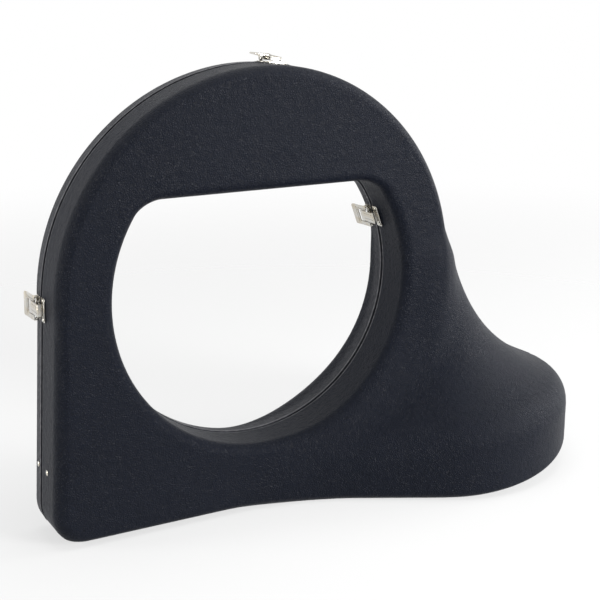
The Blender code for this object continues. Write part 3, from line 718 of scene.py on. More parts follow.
class Groups:
    """Shader node groups that several finishes share, each made once."""

    @staticmethod
    def start(name: str, inputs: dict[str, float], outputs: tuple[str, ...]) -> tuple["Tree", Node, Node]:
        """New group with a vector to read at, number sockets, and its input and output nodes.

        Args:
            name: Name of the group.
            inputs: Default of each number that goes in.
            outputs: Names of the numbers that come out.

        Returns:
            Tree of the group, its input node and its output node.
        """
        group = bpy.data.node_groups.new(name, "ShaderNodeTree")
        group.interface.new_socket(name="Vector", in_out="INPUT", socket_type="NodeSocketVector")
        for label, default in inputs.items():
            socket = group.interface.new_socket(name=label, in_out="INPUT", socket_type="NodeSocketFloat")
            socket.default_value = default
        for label in outputs:
            group.interface.new_socket(name=label, in_out="OUTPUT", socket_type="NodeSocketFloat")
        return Tree(group), group.nodes.new("NodeGroupInput"), group.nodes.new("NodeGroupOutput")

    @classmethod
    @cache
    def grain(cls) -> Group:
        """Pebbled leather grain: rounded cells with creases between them, warped and uneven."""
        inputs = {"Cells per metre": 500.0, "Warp": 0.0006}
        tree, source, target = cls.start("pebble_grain", inputs, ("Height", "Crease", "Tone"))
        here, scale = source.outputs["Vector"], source.outputs["Cells per metre"]
        warp = tree.noise(here, 260.0, 2.0, output="Color")
        centred = tree.vector("SUBTRACT", warp, (0.5, 0.5, 0.5))
        pushed = tree.vector("SCALE", centred, Scale=source.outputs["Warp"])
        place = tree.vector("ADD", here, pushed)
        cells = tree.cells(place, scale, "DISTANCE_TO_EDGE")
        shades = tree.cells(place, scale, "F1")
        rise = tree.ramp(cells.outputs["Distance"], 0.0, 0.34)
        height = tree.math("MULTIPLY_ADD", tree.noise(here, 2200.0, 3.0), 0.22, rise)
        crease = tree.math("SUBTRACT", 1.0, tree.ramp(cells.outputs["Distance"], 0.0, 0.12))
        tree.fill(target, Height=height, Crease=crease, Tone=shades.outputs["Color"])
        return tree.tree

    @classmethod
    @cache
    def patches(cls) -> Group:
        """Broad, soft unevenness, and sparse light flecks of dust."""
        inputs = {"Patch scale": 14.0, "Fleck scale": 420.0, "Fleck share": 0.3}
        tree, source, target = cls.start("patches", inputs, ("Patch", "Fleck"))
        broad = tree.noise(source.outputs["Vector"], source.outputs["Patch scale"], 3.0, 0.55)
        flecks = tree.cells(source.outputs["Vector"], source.outputs["Fleck scale"], "F1")
        spot = tree.math("SUBTRACT", 1.0, tree.ramp(flecks.outputs["Distance"], 0.03, 0.12))
        chosen = tree.node("ShaderNodeSeparateColor", Color=flecks.outputs["Color"])
        few = tree.math("LESS_THAN", chosen.outputs["Red"], source.outputs["Fleck share"])
        fleck = tree.math("MULTIPLY", tree.math("MULTIPLY", spot, few), tree.ramp(broad, 0.5, 0.68))
        tree.fill(target, Patch=broad, Fleck=fleck)
        return tree.tree

    @classmethod
    @cache
    def wear_and_shine_group(cls) -> Group:
        """Wear and painted highlights where a mesh's mask gives them, broken up by noise."""
        tree, source, target = cls.start("wear_and_shine_group", {"Mask": 0.0, "Break up": 180.0}, ("Wear",))
        noise = tree.noise(source.outputs["Vector"], source.outputs["Break up"], 5.0, 0.65)
        broken = tree.ramp(noise, 0.42, 0.66, 0.5, 1.0)
        tree.fill(target, Wear=tree.math("MULTIPLY", broken, source.outputs["Mask"]))
        return tree.tree


class Tree:
    """Short calls that add and link nodes in one node tree."""

    def __init__(self, tree: Group) -> None:
        """Keeps the tree that the calls work on."""
        self.tree = tree

    def feed(self, target: Socket, value: object) -> None:
        """Gives an input a socket to read or a constant, where a colour gets full cover."""
        if isinstance(value, Socket):
            self.tree.links.new(value, target)
        elif target.type == "RGBA":
            target.default_value = (*value, 1.0)
        else:
            target.default_value = value

    def fill(self, node: Node, **values: object) -> Node:
        """Feeds the inputs of a node that the keywords name."""
        for label, value in values.items():
            self.feed(node.inputs[label.replace("_", " ")], value)
        return node

    def node(self, kind: str, **values: object) -> Node:
        """New node with its inputs fed."""
        return self.fill(self.tree.nodes.new(kind), **values)

    def operation(self, kind: str, operation: str, values: tuple) -> Node:
        """New node that does an operation on values, which feed its inputs in turn."""
        made = self.tree.nodes.new(kind)
        made.operation = operation
        for target, value in zip(made.inputs, values):
            self.feed(target, value)
        return made

    def math(self, operation: str, *values: object) -> Socket:
        """Math node on sockets or numbers."""
        return self.operation("ShaderNodeMath", operation, values).outputs[0]

    def vector(self, operation: str, *values: object, **named: object) -> Socket:
        """Vector math node on sockets or constants."""
        made = self.fill(self.operation("ShaderNodeVectorMath", operation, values), **named)
        return made.outputs["Value" if operation == "LENGTH" else "Vector"]

    def noise(self, place: Socket, scale: object, detail: float, roughness: float = 0.5,
              output: str = "Fac") -> Socket:
        """Noise at a place."""
        made = self.node("ShaderNodeTexNoise", Vector=place, Scale=scale, Detail=detail, Roughness=roughness)
        return made.outputs[output]

    def cells(self, place: Socket, scale: Socket, feature: str) -> Node:
        """Cells at a place."""
        made = self.node("ShaderNodeTexVoronoi")
        made.feature = feature
        return self.fill(made, Vector=place, Scale=scale)

    def seen(self) -> Socket:
        """One for the rays that show the surroundings: straight, mirrored or through glass."""
        rays = self.node("ShaderNodeLightPath")
        mirrored = self.math("MAXIMUM", rays.outputs["Is Camera Ray"], rays.outputs["Is Glossy Ray"])
        return self.math("MAXIMUM", mirrored, rays.outputs["Is Transmission Ray"])

    def ramp(self, value: Socket, low: float, high: float, first: float = 0.0,
             last: float = 1.0) -> Socket:
        """Smooth change from first to last while a value goes from low to high."""
        made = self.node("ShaderNodeMapRange", Value=value, From_Min=low, From_Max=high, To_Min=first,
                         To_Max=last)
        made.interpolation_type = "SMOOTHSTEP"
        return made.outputs["Result"]

    def mix(self, share: object, first: object, second: object) -> Socket:
        """Mix of two colours."""
        made = self.node("ShaderNodeMix")
        made.data_type = "RGBA"
        for number, value in ((0, share), (6, first), (7, second)):
            self.feed(made.inputs[number], value)
        return made.outputs[2]

    def bump(self, height: Socket, strength: float, distance: float, **below: Socket) -> Socket:
        """Normal from a height, over another one where Normal gives it."""
        made = self.node("ShaderNodeBump", Height=height, Strength=strength, Distance=distance, **below)
        return made.outputs["Normal"]

    def group(self, group: Group, **values: object) -> bpy.types.NodeOutputs:
        """Outputs of a new node that uses a group."""
        made = self.tree.nodes.new("ShaderNodeGroup")
        made.node_tree = group
        return self.fill(made, **values).outputs


def new_material(name: str) -> tuple[Material, Tree, Node, Socket]:
    """New material, its tree, its shader and its object coordinates."""
    made = bpy.data.materials.new(name)
    made.use_nodes = True
    tree = Tree(made.node_tree)
    shader = made.node_tree.nodes["Principled BSDF"]
    place = tree.node("ShaderNodeTexCoord").outputs["Object"]
    return made, tree, shader, place


@dataclass(frozen=True)
class LeatherFinish:
    """Leather-grain skin: navy black, satin, pebbled, with painted shade in its creases, lighter where it is
    worn, and with painted highlights and reflections along its seam.
    """

    name: str = "leather_grain_skin"
    colour: Triple = (0.0018, 0.0033, 0.0088)
    pale: Triple = (0.0048, 0.0070, 0.0145)
    # Painted shade: darker colour in the grain's creases.
    crease: Triple = (0.0012, 0.0016, 0.0032)
    # Pale colour for wear on the foot, a painted highlight on the lips and a painted reflection on the back
    # wall.
    worn_and_shiny: Triple = (0.21, 0.21, 0.225)
    dust: Triple = (0.10, 0.10, 0.11)
    roughness: float = 0.40
    specular: float = 0.12
    cells: float = 460.0
    unevenness: float = 170.0

    def material(self) -> Material:
        """Builds the material."""
        made, tree, shader, place = new_material(self.name)
        grain = tree.group(Groups.grain(), Vector=place, Cells_per_metre=self.cells)
        patches = tree.group(Groups.patches(), Vector=place)
        mask = tree.node("ShaderNodeAttribute")
        mask.attribute_name = "worn_and_shiny"
        # The mask holds wear on the foot, a painted highlight on the lips and a painted reflection on the
        # back wall.
        wear = tree.group(Groups.wear_and_shine_group(), Vector=place, Mask=mask.outputs["Fac"])["Wear"]
        tone = tree.mix(patches["Patch"], self.colour, self.pale)
        cell = tree.mix(tree.math("MULTIPLY", grain["Tone"], 0.35), tone, self.pale)
        # Painted shade along the grain's creases.
        creased = tree.mix(tree.math("MULTIPLY", grain["Crease"], 0.7), cell, self.crease)
        # Paints the pale colour where the mask says: wear, painted highlight and painted reflection.
        worn_and_lit = tree.mix(wear, creased, self.worn_and_shiny)
        dusty = tree.mix(tree.math("MULTIPLY", patches["Fleck"], 0.25), worn_and_lit, self.dust)
        rough = tree.math("MULTIPLY_ADD", patches["Patch"], 0.10, self.roughness - 0.05)
        rough = tree.math("MULTIPLY_ADD", grain["Crease"], 0.16, rough)
        rough = tree.math("MULTIPLY_ADD", wear, -0.10, rough)
        broad = tree.bump(patches["Patch"], 0.25, 0.0022)
        uneven = tree.bump(tree.noise(place, self.unevenness, 2.0), 0.7, 0.0015, Normal=broad)
        pebbled = tree.bump(grain["Height"], 1.0, 0.0004, Normal=uneven)
        tree.fill(shader, Base_Color=dusty, Roughness=rough, Normal=pebbled,
                  Specular_IOR_Level=self.specular)
        return made


@dataclass(frozen=True)
class PlushFinish:
    """Short plush: deep wine pile with brushed streaks and a soft sheen."""

    name: str = "plush_lining"
    deep: Triple = (0.030, 0.0035, 0.0065)
    light: Triple = (0.115, 0.014, 0.024)
    sheen: Triple = (0.55, 0.22, 0.26)
    pile: float = 1500.0
    streaks: float = 55.0

    def material(self) -> Material:
        """Builds the material."""
        made, tree, shader, place = new_material(self.name)
        patches = tree.group(Groups.patches(), Vector=place, Patch_scale=26.0)
        brushed = tree.vector("MULTIPLY", place, (1.0, 1.0, 2.6))
        streak = tree.noise(brushed, self.streaks, 4.0, 0.6)
        pile = tree.noise(place, self.pile, 2.0)
        lay = tree.math("MULTIPLY", tree.ramp(streak, 0.38, 0.64), patches["Patch"])
        share = tree.math("MULTIPLY_ADD", pile, 0.45, tree.math("MULTIPLY", lay, 0.8))
        raised = tree.bump(pile, 0.7, 0.0004, Normal=tree.bump(streak, 0.3, 0.0012))
        tree.fill(shader, Base_Color=tree.mix(share, self.deep, self.light), Normal=raised,
                  Roughness=0.95, Specular_IOR_Level=0.12, Sheen_Weight=0.5, Sheen_Roughness=0.4,
                  Sheen_Tint=self.sheen)
        return made


@dataclass(frozen=True)
class NickelFinish:
    """Bright nickel plate: faint rolling lines, dull patches and painted shade in its corners."""

    name: str = "nickel_plate"
    colour: Triple = (0.60, 0.59, 0.56)
    warm: Triple = (0.56, 0.51, 0.42)
    # Painted shade: the dark colour that the corners take.
    corner_shade: Triple = (0.030, 0.026, 0.020)
    corner_shade_reach: float = 0.0022
    roughness: float = 0.20
    lines: float = 1400.0

    def material(self) -> Material:
        """Builds the material."""
        made, tree, shader, place = new_material(self.name)
        patches = tree.group(Groups.patches(), Vector=place, Patch_scale=140.0, Fleck_scale=900.0)
        lines = tree.noise(tree.vector("MULTIPLY", place, (1.0, 0.04, 1.0)), self.lines, 3.0)
        tone = tree.mix(tree.ramp(patches["Patch"], 0.35, 0.7), self.colour, self.warm)
        # Painted shade: darker colour where ambient occlusion finds corners and crevices.
        corners = tree.node("ShaderNodeAmbientOcclusion", Distance=self.corner_shade_reach)
        unshaded = tree.ramp(corners.outputs["AO"], 0.35, 0.85)
        rough = tree.math("MULTIPLY_ADD", patches["Patch"], 0.16, self.roughness - 0.08)
        rough = tree.math("MULTIPLY_ADD", patches["Fleck"], 0.2, rough)
        tree.fill(shader, Base_Color=tree.mix(unshaded, self.corner_shade, tone), Roughness=rough,
                  Normal=tree.bump(lines, 0.10, 0.00003), Metallic=1.0)
        return made


@dataclass(frozen=True)
class TrimFinish:
    """Black moulded strip with a fine matt texture."""

    name: str = "black_trim"
    colour: Triple = (0.010, 0.010, 0.011)
    pale: Triple = (0.020, 0.020, 0.022)
    texture: float = 2600.0

    def material(self) -> Material:
        """Builds the material."""
        made, tree, shader, place = new_material(self.name)
        patch = tree.group(Groups.patches(), Vector=place, Patch_scale=60.0)["Patch"]
        tree.fill(shader, Base_Color=tree.mix(patch, self.colour, self.pale),
                  Roughness=tree.math("MULTIPLY_ADD", patch, 0.15, 0.42),
                  Normal=tree.bump(tree.noise(place, self.texture, 2.0), 0.2, 0.0001))
        return made


@dataclass(frozen=True)
class WebbingFinish:
    """Flat woven tape: crossing ribs in the tape's own length and width."""

    name: str = "woven_tape"
    colour: Triple = (0.012, 0.012, 0.013)
    pale: Triple = (0.045, 0.045, 0.048)
    ribs: float = 900.0
    fibres: float = 3000.0

    def material(self) -> Material:
        """Builds the material."""
        made, tree, shader, place = new_material(self.name)
        run = tree.node("ShaderNodeUVMap").outputs["UV"]
        threads = []
        for direction, scale in (("Y", self.ribs), ("X", self.ribs * 0.8)):
            wave = tree.node("ShaderNodeTexWave", Vector=run, Scale=scale)
            wave.bands_direction = direction
            threads.append(wave.outputs["Fac"])
        weave = tree.math("MULTIPLY", *threads)
        share = tree.math("MULTIPLY", weave, 0.7)
        share = tree.math("MULTIPLY_ADD", tree.noise(place, self.fibres, 2.0), 0.3, share)
        tree.fill(shader, Base_Color=tree.mix(share, self.colour, self.pale), Roughness=0.8,
                  Normal=tree.bump(weave, 0.6, 0.0002))
        return made


@dataclass
class Shell:
    """One moulded shell with its leather-grain skin, lips along the seam and a wall 3 mm thick."""

    half: Half
    stations: int = 420
    rows: int = 104
    inner_rows: int = 34
    inner_start: float = 0.0054
    foot_y: float = 0.0025
    foot_wear: float = 0.08
    foot_heights: Span = (0.001, 0.008)
    wall_fade: Span = (-0.002, 0.003)
    lip_highlight_span: Span = (-0.0001, 0.0003)
    land_gap: float = 0.00006
    land_start: float = 0.0004
    land_fade: Span = (0.0036, 0.0014)
    land_reach: Span = (-0.0018, 0.0014)
    sharp: float = math.radians(48)

    def share(self, normals: np.ndarray, outer: bool) -> np.ndarray:
        """Column of the hinge groove's share at each station, which is none on the opening's edge."""
        return SEAM.groove_share(normals)[:, None] if outer else np.zeros((len(normals), 1))

    def lip(self, outer: bool) -> Profile:
        """Profile from the gap up to the skin: the slot and lip, or the hinge groove's slope.

        Args:
            outer: True for the outer edge, which has the hinge groove at the bottom.

        Returns:
            Function of the normals that gives heights and distances from the seam.
        """
        def profile(normals: np.ndarray) -> Arrays:
            share = self.share(normals, outer)
            lip_height, lip_y = SEAM.lip(self.half.lip_rise)
            slope_y = np.linspace(SEAM.gap / 2, SEAM.groove, len(lip_y) + 1)[:-1]
            height = (1 - share) * lip_height - share * (SEAM.groove - slope_y)
            return height, (1 - share) * lip_y + share * slope_y
        return profile

    def wall_foot(self, outer: bool) -> Profile:
        """Rows of the wall's inside next to the seam, which step in over the hinge groove."""
        def profile(normals: np.ndarray) -> Arrays:
            share = self.share(normals, outer)
            y = np.array([[SEAM.gap / 2, self.foot_y, SEAM.groove]]) + 0 * share
            return -share * np.maximum(SEAM.groove - y, 0), y
        return profile

    def press_lands(self, points: np.ndarray) -> np.ndarray:
        """Beds the latch plates in the skin: it rises to a flat pad right under each plate.

        Args:
            points: Array of points of the outer skin in the scene's own frame.

        Returns:
            Array of the moved points.
        """
        low, high = Latch.catch if self.half is Half.FRONT else Latch.base
        for site in LatchSite:
            matrix = np.array(site.matrix())
            local = (points - matrix[:3, 3]) @ matrix[:3, :3]
            past_x = np.abs(local[..., 0]) - Latch.half_width
            past_y = np.maximum(low - local[..., 1], local[..., 1] - high)
            weight = 1 - smoothstep(past_x, self.land_start, self.land_fade[0])
            weight = weight * (1 - smoothstep(past_y, 0, self.land_fade[1]))
            deep, proud = self.land_reach
            weight = weight * smoothstep(local[..., 2], deep, deep / 2) * (local[..., 2] < proud)
            lift = weight * (-self.land_gap - local[..., 2])
            points = points + lift[..., None] * matrix[:3, 2]
        return points

    def build(self) -> Object:
        """Builds the closed mesh of the shell.

        Returns:
            The new object, with a mask of where the skin is worn and where highlights and reflections are
            painted on it.
        """
        side = np.array([1, self.half.side, 1])
        angles = Stations.angles(self.stations)
        _, outer_normals = FORM.edge_points(angles, True)
        share = SEAM.groove_share(outer_normals)
        start = SEAM.lip_end + share * (SEAM.groove_end - SEAM.lip_end)
        face = skin_lines(self.half, 0.0, angles, self.rows, start, SEAM.lip_end)
        skin = np.concatenate([
            edge_rows(angles, True, self.lip(True)), face,
            edge_rows(angles, False, self.lip(False))[:, ::-1],
        ], axis=1)
        skin = self.press_lands(skin * side) * side
        inside = skin_lines(self.half, -SEAM.wall, angles, self.inner_rows,
                            np.full(len(angles), self.inner_start), self.inner_start)
        back = np.concatenate([
            edge_rows(angles, True, self.wall_foot(True), -SEAM.wall), inside,
            edge_rows(angles, False, self.wall_foot(False), -SEAM.wall)[:, ::-1],
        ], axis=1)
        lines = np.concatenate([skin, back[:, ::-1]], axis=1)
        obj = loft(f"{self.half.word}_shell_skin", lines, self.half.side)
        paint_mask(obj.data, "worn_and_shiny", self.wear(lines, skin.shape[1]))
        obj.data.set_sharp_from_angle(angle=self.sharp)
        return obj

    def wear(self, lines: np.ndarray, outside: int) -> np.ndarray:
        """Where the skin is lighter: a painted highlight on its lips, wear along its foot and a painted
        reflection on its wall.

        Args:
            lines: Array (stations, rows, 3) of the shell's points.
            outside: Number of rows that belong to the outer skin.

        Returns:
            Array (stations, rows) of the wear and painted light, from 0 to 1.
        """
        worn_and_shiny = np.zeros(lines.shape[:2])
        _, lip_y = SEAM.lip(self.half.lip_rise)
        # Painted highlight along the lip's rounded corner.
        start, end = SEAM.slot_half + np.array(self.lip_highlight_span)
        worn_and_lit = smoothstep(lip_y, start, end) * (1 - smoothstep(lip_y, SEAM.lip_top, SEAM.lip_end))
        worn_and_shiny[:, :len(lip_y)] = self.half.lip_highlight * worn_and_lit
        worn_and_shiny[:, outside - len(lip_y):outside] = self.half.lip_highlight * worn_and_lit[::-1]
        low = self.foot_wear * (1 - smoothstep(lines[..., 2], *self.foot_heights))
        # Painted reflection on the wall beside the seam.
        start, end = self.half.depth - self.half.edge + np.array(self.wall_fade)
        wall = self.half.wall_reflection * (1 - smoothstep(np.abs(lines[..., 1]), start, end))
        return np.maximum(worn_and_shiny, np.maximum(low, wall) * (np.arange(lines.shape[1]) < outside))

    def dress(self, material: Material) -> None:
        """Builds the shell and hands it over."""
        hand_over(self.build(), material, self.half.body, "leather_grain_skin", f"{self.half.word}_shell")


@dataclass
class Lining:
    """Padded plush lining of one shell, with a rolled rim along the seam."""

    half: Half
    stations: int = 300
    rows: int = 72
    back_rows: int = 26
    outside: float = 0.0034
    inside: float = 0.0108
    rim_y: float = 0.0060
    rim_rows: int = 11

    def rim(self, normals: np.ndarray) -> Arrays:
        """Round rim from the lining's back to its front."""
        middle, radius = (self.outside + self.inside) / 2, (self.inside - self.outside) / 2
        turn = np.linspace(0, math.pi, self.rim_rows + 2)[None, 1:-1] + np.zeros((len(normals), 1))
        return -(middle - radius * np.cos(turn)), self.rim_y + radius - radius * np.sin(turn)

    def build(self) -> Object:
        """Builds the closed, padded mesh."""
        angles = Stations.angles(self.stations)
        start = self.rim_y + (self.inside - self.outside) / 2
        starts = np.full(len(angles), start)
        front = relaxed(skin_lines(self.half, -self.inside, angles, self.rows, starts, start), 3)
        back = skin_lines(self.half, -self.outside, angles, self.back_rows, starts, start)
        lines = np.concatenate([
            back[:, ::-1], edge_rows(angles, True, self.rim), front,
            edge_rows(angles, False, self.rim)[:, ::-1],
        ], axis=1)[:, ::-1]
        return loft(f"{self.half.word}_plush_lining", lines, self.half.side)

    def dress(self, material: Material) -> None:
        obj = self.build()
        hand_over(obj, material, self.half.body, "plush_lining", f"{self.half.word}_lining")


@dataclass
class Tongues:
    """Locating strips inside the front shell's rims, which stand into the back shell."""

    stations: int = 420
    thickness: float = 0.0013
    clearance: float = 0.0013
    low: float = -0.005
    high: float = 0.0035
    ease: float = 0.0004
    groove_facing: float = 0.2
    least_lead: float = 0.0006
    sharp: float = math.radians(50)

    def section(self, outer: bool) -> Profile:
        """Closed section of a strip with rounded edges."""
        corner = filleted([(0, self.low, 0), (self.thickness, self.low, 0),
                           (self.thickness, self.high, self.ease), (0, self.high, self.ease)], 5)

        def profile(normals: np.ndarray) -> Arrays:
            share = SEAM.groove_share(normals, self.groove_facing)[:, None] if outer else 0.0
            lead = SEAM.wall + self.clearance + np.maximum(SEAM.groove * share, self.least_lead)
            inset = np.array([[point[0] for point in corner]]) + lead + np.zeros((len(normals), 1))
            return -inset, np.array([[point[1] for point in corner]]) + 0 * inset
        return profile

    def dress(self, material: Material) -> None:
        """Builds both strips and hands them over."""
        angles = Stations.angles(self.stations)
        for word, outer in (("outer", True), ("inner", False)):
            lines = edge_rows(angles, outer, self.section(outer))
            if not outer:
                lines = lines[:, ::-1]
            obj = loft(f"{word}_locating_strip", lines, 1)
            obj.data.set_sharp_from_angle(angle=self.sharp)
            hand_over(obj, material, "front_half", "black_trim", f"{word}_tongue")


@dataclass
class Latch:
    """Drawbolt latch: base with ears, lever, draw hook, catch, two pins and the plates' rivets."""

    sheet: float = 0.0008
    half_width: float = 0.0125
    base: Span = (0.0020, 0.0125)
    catch: Span = (-0.0135, -0.0024)
    ear_x: float = 0.0107
    ear_radius: float = 0.0020
    ear_half: float = 0.0015
    lug: float = 0.0010
    pivot: Point = (0.0050, 0.0034)
    arm: float = 0.0090
    tilt: float = math.radians(3.0)
    lever_half: float = 0.0130
    lever: Span = (-0.0010, 0.0260)
    lever_rise: float = 0.0023
    cheek_radius: float = 0.0019
    cheek_length: float = 0.0042
    inner_cheek_x: float = 0.0081
    window_half: float = 0.0073
    window_end: float = 0.0155
    hook_half: float = 0.0066
    hook: Span = (-0.0226, 0.0036)
    hook_drop: float = -0.0009
    ridge: Triple = (-0.0074, 0.0062, 0.0025)
    catch_edge: float = 0.0020
    pin_radius: float = 0.0008
    pin_hole: float = 0.00115
    lever_pin: float = 0.0258
    hook_pin: float = 0.0178
    base_rivet: Point = (0.0080, 0.0100)
    catch_rivet: Point = (0.0098, -0.0080)
    rivet_head: float = 0.0019
    rivet_rise: float = 0.0006
    rivet_rim: float = 0.00025
    rivet_shank: float = 0.0010
    rivet_hole: float = 0.0013
    seat: float = 0.0003
    sunk: float = 0.0002
    base_corner: float = 0.0012
    rib: Triple = (0.0050, 0.0022, 0.0012)
    rib_rise: float = 0.0003
    slot_corner: float = 0.0009
    tip_corner: float = 0.0022
    frame_gap: float = 0.0004
    frame_width: float = 0.0011
    frame_span: Span = (0.0006, 0.0005)
    frame_rise: float = 0.00045
    frame_corners: Span = (0.0012, 0.0020)
    grip: Triple = (0.0030, 0.0068, 0.0058)
    grip_rise: float = 0.0003
    root: float = 0.0003
    inner_cheek_half: float = 0.0017
    curl: Span = (0.0042, 0.0009)
    corner_cut: float = 0.0022
    cut_corner: float = 0.0004
    catch_corner: float = 0.0008
    catch_inset: float = 0.0046
    throat: Span = (0.0012, 0.0009)
    nose_bend: float = 0.0011
    bead: Triple = (0.0005, 0.0030, -0.0035)
    bead_x: float = 0.0032
    bead_rise: float = 0.00035

    def both(self, outline: Outline, x: float, holes: tuple[Outline, ...] = ()) -> list[Mesh]:
        """The same upright lug at plus and minus x."""
        return [cheek(outline, side * x, self.lug, holes=holes) for side in (-1, 1)]

    def bore(self, y: float = 0.0, z: float = 0.0) -> tuple[Outline]:
        """Outline of a pin's hole."""
        return (arc((y, z), self.pin_hole, 0, 340, 18),)

    def rivet_holes(self, spot: Point) -> tuple[Outline, ...]:
        """Outlines of the holes for a plate's two rivets."""
        return tuple(arc((side * spot[0], spot[1]), self.rivet_hole, 0, 345, 24) for side in (-1, 1))

    def flange(self, y: float, top: float, corner: float) -> Outline:
        """Section of a fold that stands on the catch plate."""
        foot = self.sheet * 0.4
        return filleted([(y, foot, 0.0), (y + self.sheet, foot, 0.0), (y + self.sheet, top, corner),
                         (y, top, corner)], 4)

    def base_mesh(self) -> Mesh:
        """Base plate with two ears that carry the lever's pin."""
        y, z = self.pivot
        outline = box_outline(-self.half_width, self.base[0], self.half_width, self.base[1],
                              self.base_corner)
        foot = [(y - self.ear_half, self.sheet * 0.5), (y + self.ear_half, self.sheet * 0.5)]
        ear = foot + arc((y, z), self.ear_radius, -20, 200, 22)
        parts = [plate(outline, 0, self.sheet, holes=self.rivet_holes(self.base_rivet))]
        parts += self.both(ear, self.ear_x, self.bore(y, z))
        half, start, end = self.rib
        rib = box_outline(-half, self.base[1] - start, half, self.base[1] - end, 0.0004)
        parts.append(plate(rib, self.sheet * 0.5, self.sheet + self.rib_rise, 0.0001))
        return joined("latch_base_plate", parts)

    def lever_mesh(self) -> Mesh:
        """Lever about its pivot: slotted plate with a raised frame round the slot and a curled end."""
        low, high = self.lever_rise, self.lever_rise + self.sheet
        w, half = self.window_half, self.lever_half
        start, end = self.lever
        outline = filleted([
            (-half, start, 0.0005), (-w, start, 0.0003), (-w, self.window_end, self.slot_corner),
            (w, self.window_end, self.slot_corner), (w, start, 0.0003), (half, start, 0.0005),
            (half, end, self.tip_corner), (-half, end, self.tip_corner)])
        tongue = plate(outline, low, high)
        bend_end(tongue, end - self.curl[0], end, self.curl[1])
        near = w + self.frame_gap
        far = near + self.frame_width
        foot, top = start + self.frame_span[0], self.window_end + self.frame_span[1]
        tight, wide = self.frame_corners
        raised = filleted([
            (-far, foot, 0.0004), (-near, foot, 0.0004), (-near, top, tight), (near, top, tight),
            (near, foot, 0.0004), (far, foot, 0.0004), (far, top + self.frame_width, wide),
            (-far, top + self.frame_width, wide)])
        parts = [tongue, plate(raised, high - self.sunk, high + self.frame_rise, 0.0002)]
        inset, back, front = self.grip
        grip = box_outline(inset - half, end - back, half - inset, end - front, 0.0005)
        parts.append(plate(grip, high - self.sunk, high + self.grip_rise, 0.00015))
        root = low + self.root
        outer = [(self.cheek_length, root), (start, root)] + arc((0, 0), self.cheek_radius, 168, 380, 22)
        parts += self.both(outer, half - self.lug / 2, self.bore())
        inner = [(self.arm + self.inner_cheek_half, root), (self.arm - self.inner_cheek_half, root)]
        inner += arc((self.arm, 0), self.cheek_radius - 0.0002, 175, 365, 18)
        parts += self.both(inner, self.inner_cheek_x, self.bore(self.arm))
        return joined("latch_lever_plate", parts)

    def hook_mesh(self) -> Mesh:
        """Draw hook about its pin: rolled eye, strip with two beads, and a nose bent down."""
        low, high = self.lever_rise, self.lever_rise + self.sheet
        nose, tail = self.hook
        reach = self.cheek_radius - 0.0001
        below, beside = low - self.throat[0], reach + self.throat[1]
        side_view = filleted([
            (nose, self.hook_drop, 0.0003), (nose + self.sheet, self.hook_drop, 0.0003),
            (nose + self.sheet, low, 0.0004), (-beside, low, 0.0008), (-reach, below, 0.0)])
        side_view += arc((0, 0), reach, 155, 385, 20)
        side_view += [(reach, below), (beside, low), (tail, low), (tail, high)]
        side_view += arc((nose + self.nose_bend, high - self.nose_bend), self.nose_bend, 90, 180, 7)
        parts = [cheek(side_view, 0, 2 * self.hook_half - 0.0002, 0.00015, self.bore())]
        half, start, end = self.bead
        for x in (-self.bead_x, self.bead_x):
            bead = box_outline(x - half, nose + start, x + half, end, 0.00045)
            parts.append(plate(bead, high - self.sunk, high + self.bead_rise, 0.0002))
        return joined("latch_draw_hook", parts)

    def catch_mesh(self) -> Mesh:
        """Catch plate: chamfered front corners, a folded ridge for the hook and a raised front edge."""
        start, end = self.catch
        half, cut = self.half_width, self.corner_cut
        outline = filleted([
            (-half + cut, start, self.cut_corner), (half - cut, start, self.cut_corner),
            (half, start + cut, self.cut_corner), (half, end, self.catch_corner),
            (-half, end, self.catch_corner), (-half, start + cut, self.cut_corner)])
        y, ridge_half, top = self.ridge
        parts = [plate(outline, 0, self.sheet, holes=self.rivet_holes(self.catch_rivet)),
                 cheek(self.flange(start, self.catch_edge, 0.0003), 0, 2 * half - self.catch_inset),
                 cheek(self.flange(y, top, 0.00035), 0, 2 * ridge_half)]
        return joined("latch_catch_plate", parts)

    def rivet_mesh(self) -> Mesh:
        """Domed rivet head over its shank."""
        top = self.sheet + self.seat
        rim = top - self.rivet_rim
        profile = dome(self.rivet_head, self.rivet_rise, top, 9)
        profile += [(self.rivet_head, rim), (self.rivet_shank, rim), (self.rivet_shank, 0.0), (0.0, 0.0)]
        return joined("latch_rivet_head", [turned(profile)], 60)

    def pieces(self, site: LatchSite) -> list[tuple[str, str, Matrix, str]]:
        """Pieces of one latch: mesh, name, place and body of each."""
        seat = site.matrix()
        pivot = seat @ Matrix.Translation((0, *self.pivot))
        tilt = Matrix.Rotation(self.tilt, 4, "X")
        eye = pivot @ Matrix.Translation(tilt @ Vector((0, self.arm, 0)))
        lever = f"{site.word}_lever"
        made = [
            ("base", "base", seat, "back_half"), ("lever_pin", "lever_pin", pivot, "back_half"),
            ("lever", "lever", pivot @ tilt, lever), ("hook_pin", "hook_pin", eye, lever),
            ("hook", "hook", eye, f"{site.word}_hook"), ("catch", "catch", seat, "front_half"),
        ]
        plates = (("base", self.base_rivet, "back_half"), ("catch", self.catch_rivet, "front_half"))
        for word, (x, y), body in plates:
            for number, side in enumerate((-1, 1), 1):
                spot = seat @ Matrix.Translation((side * x, y, 0))
                made.append(("rivet", f"{word}_rivet_{number}", spot, body))
        return made

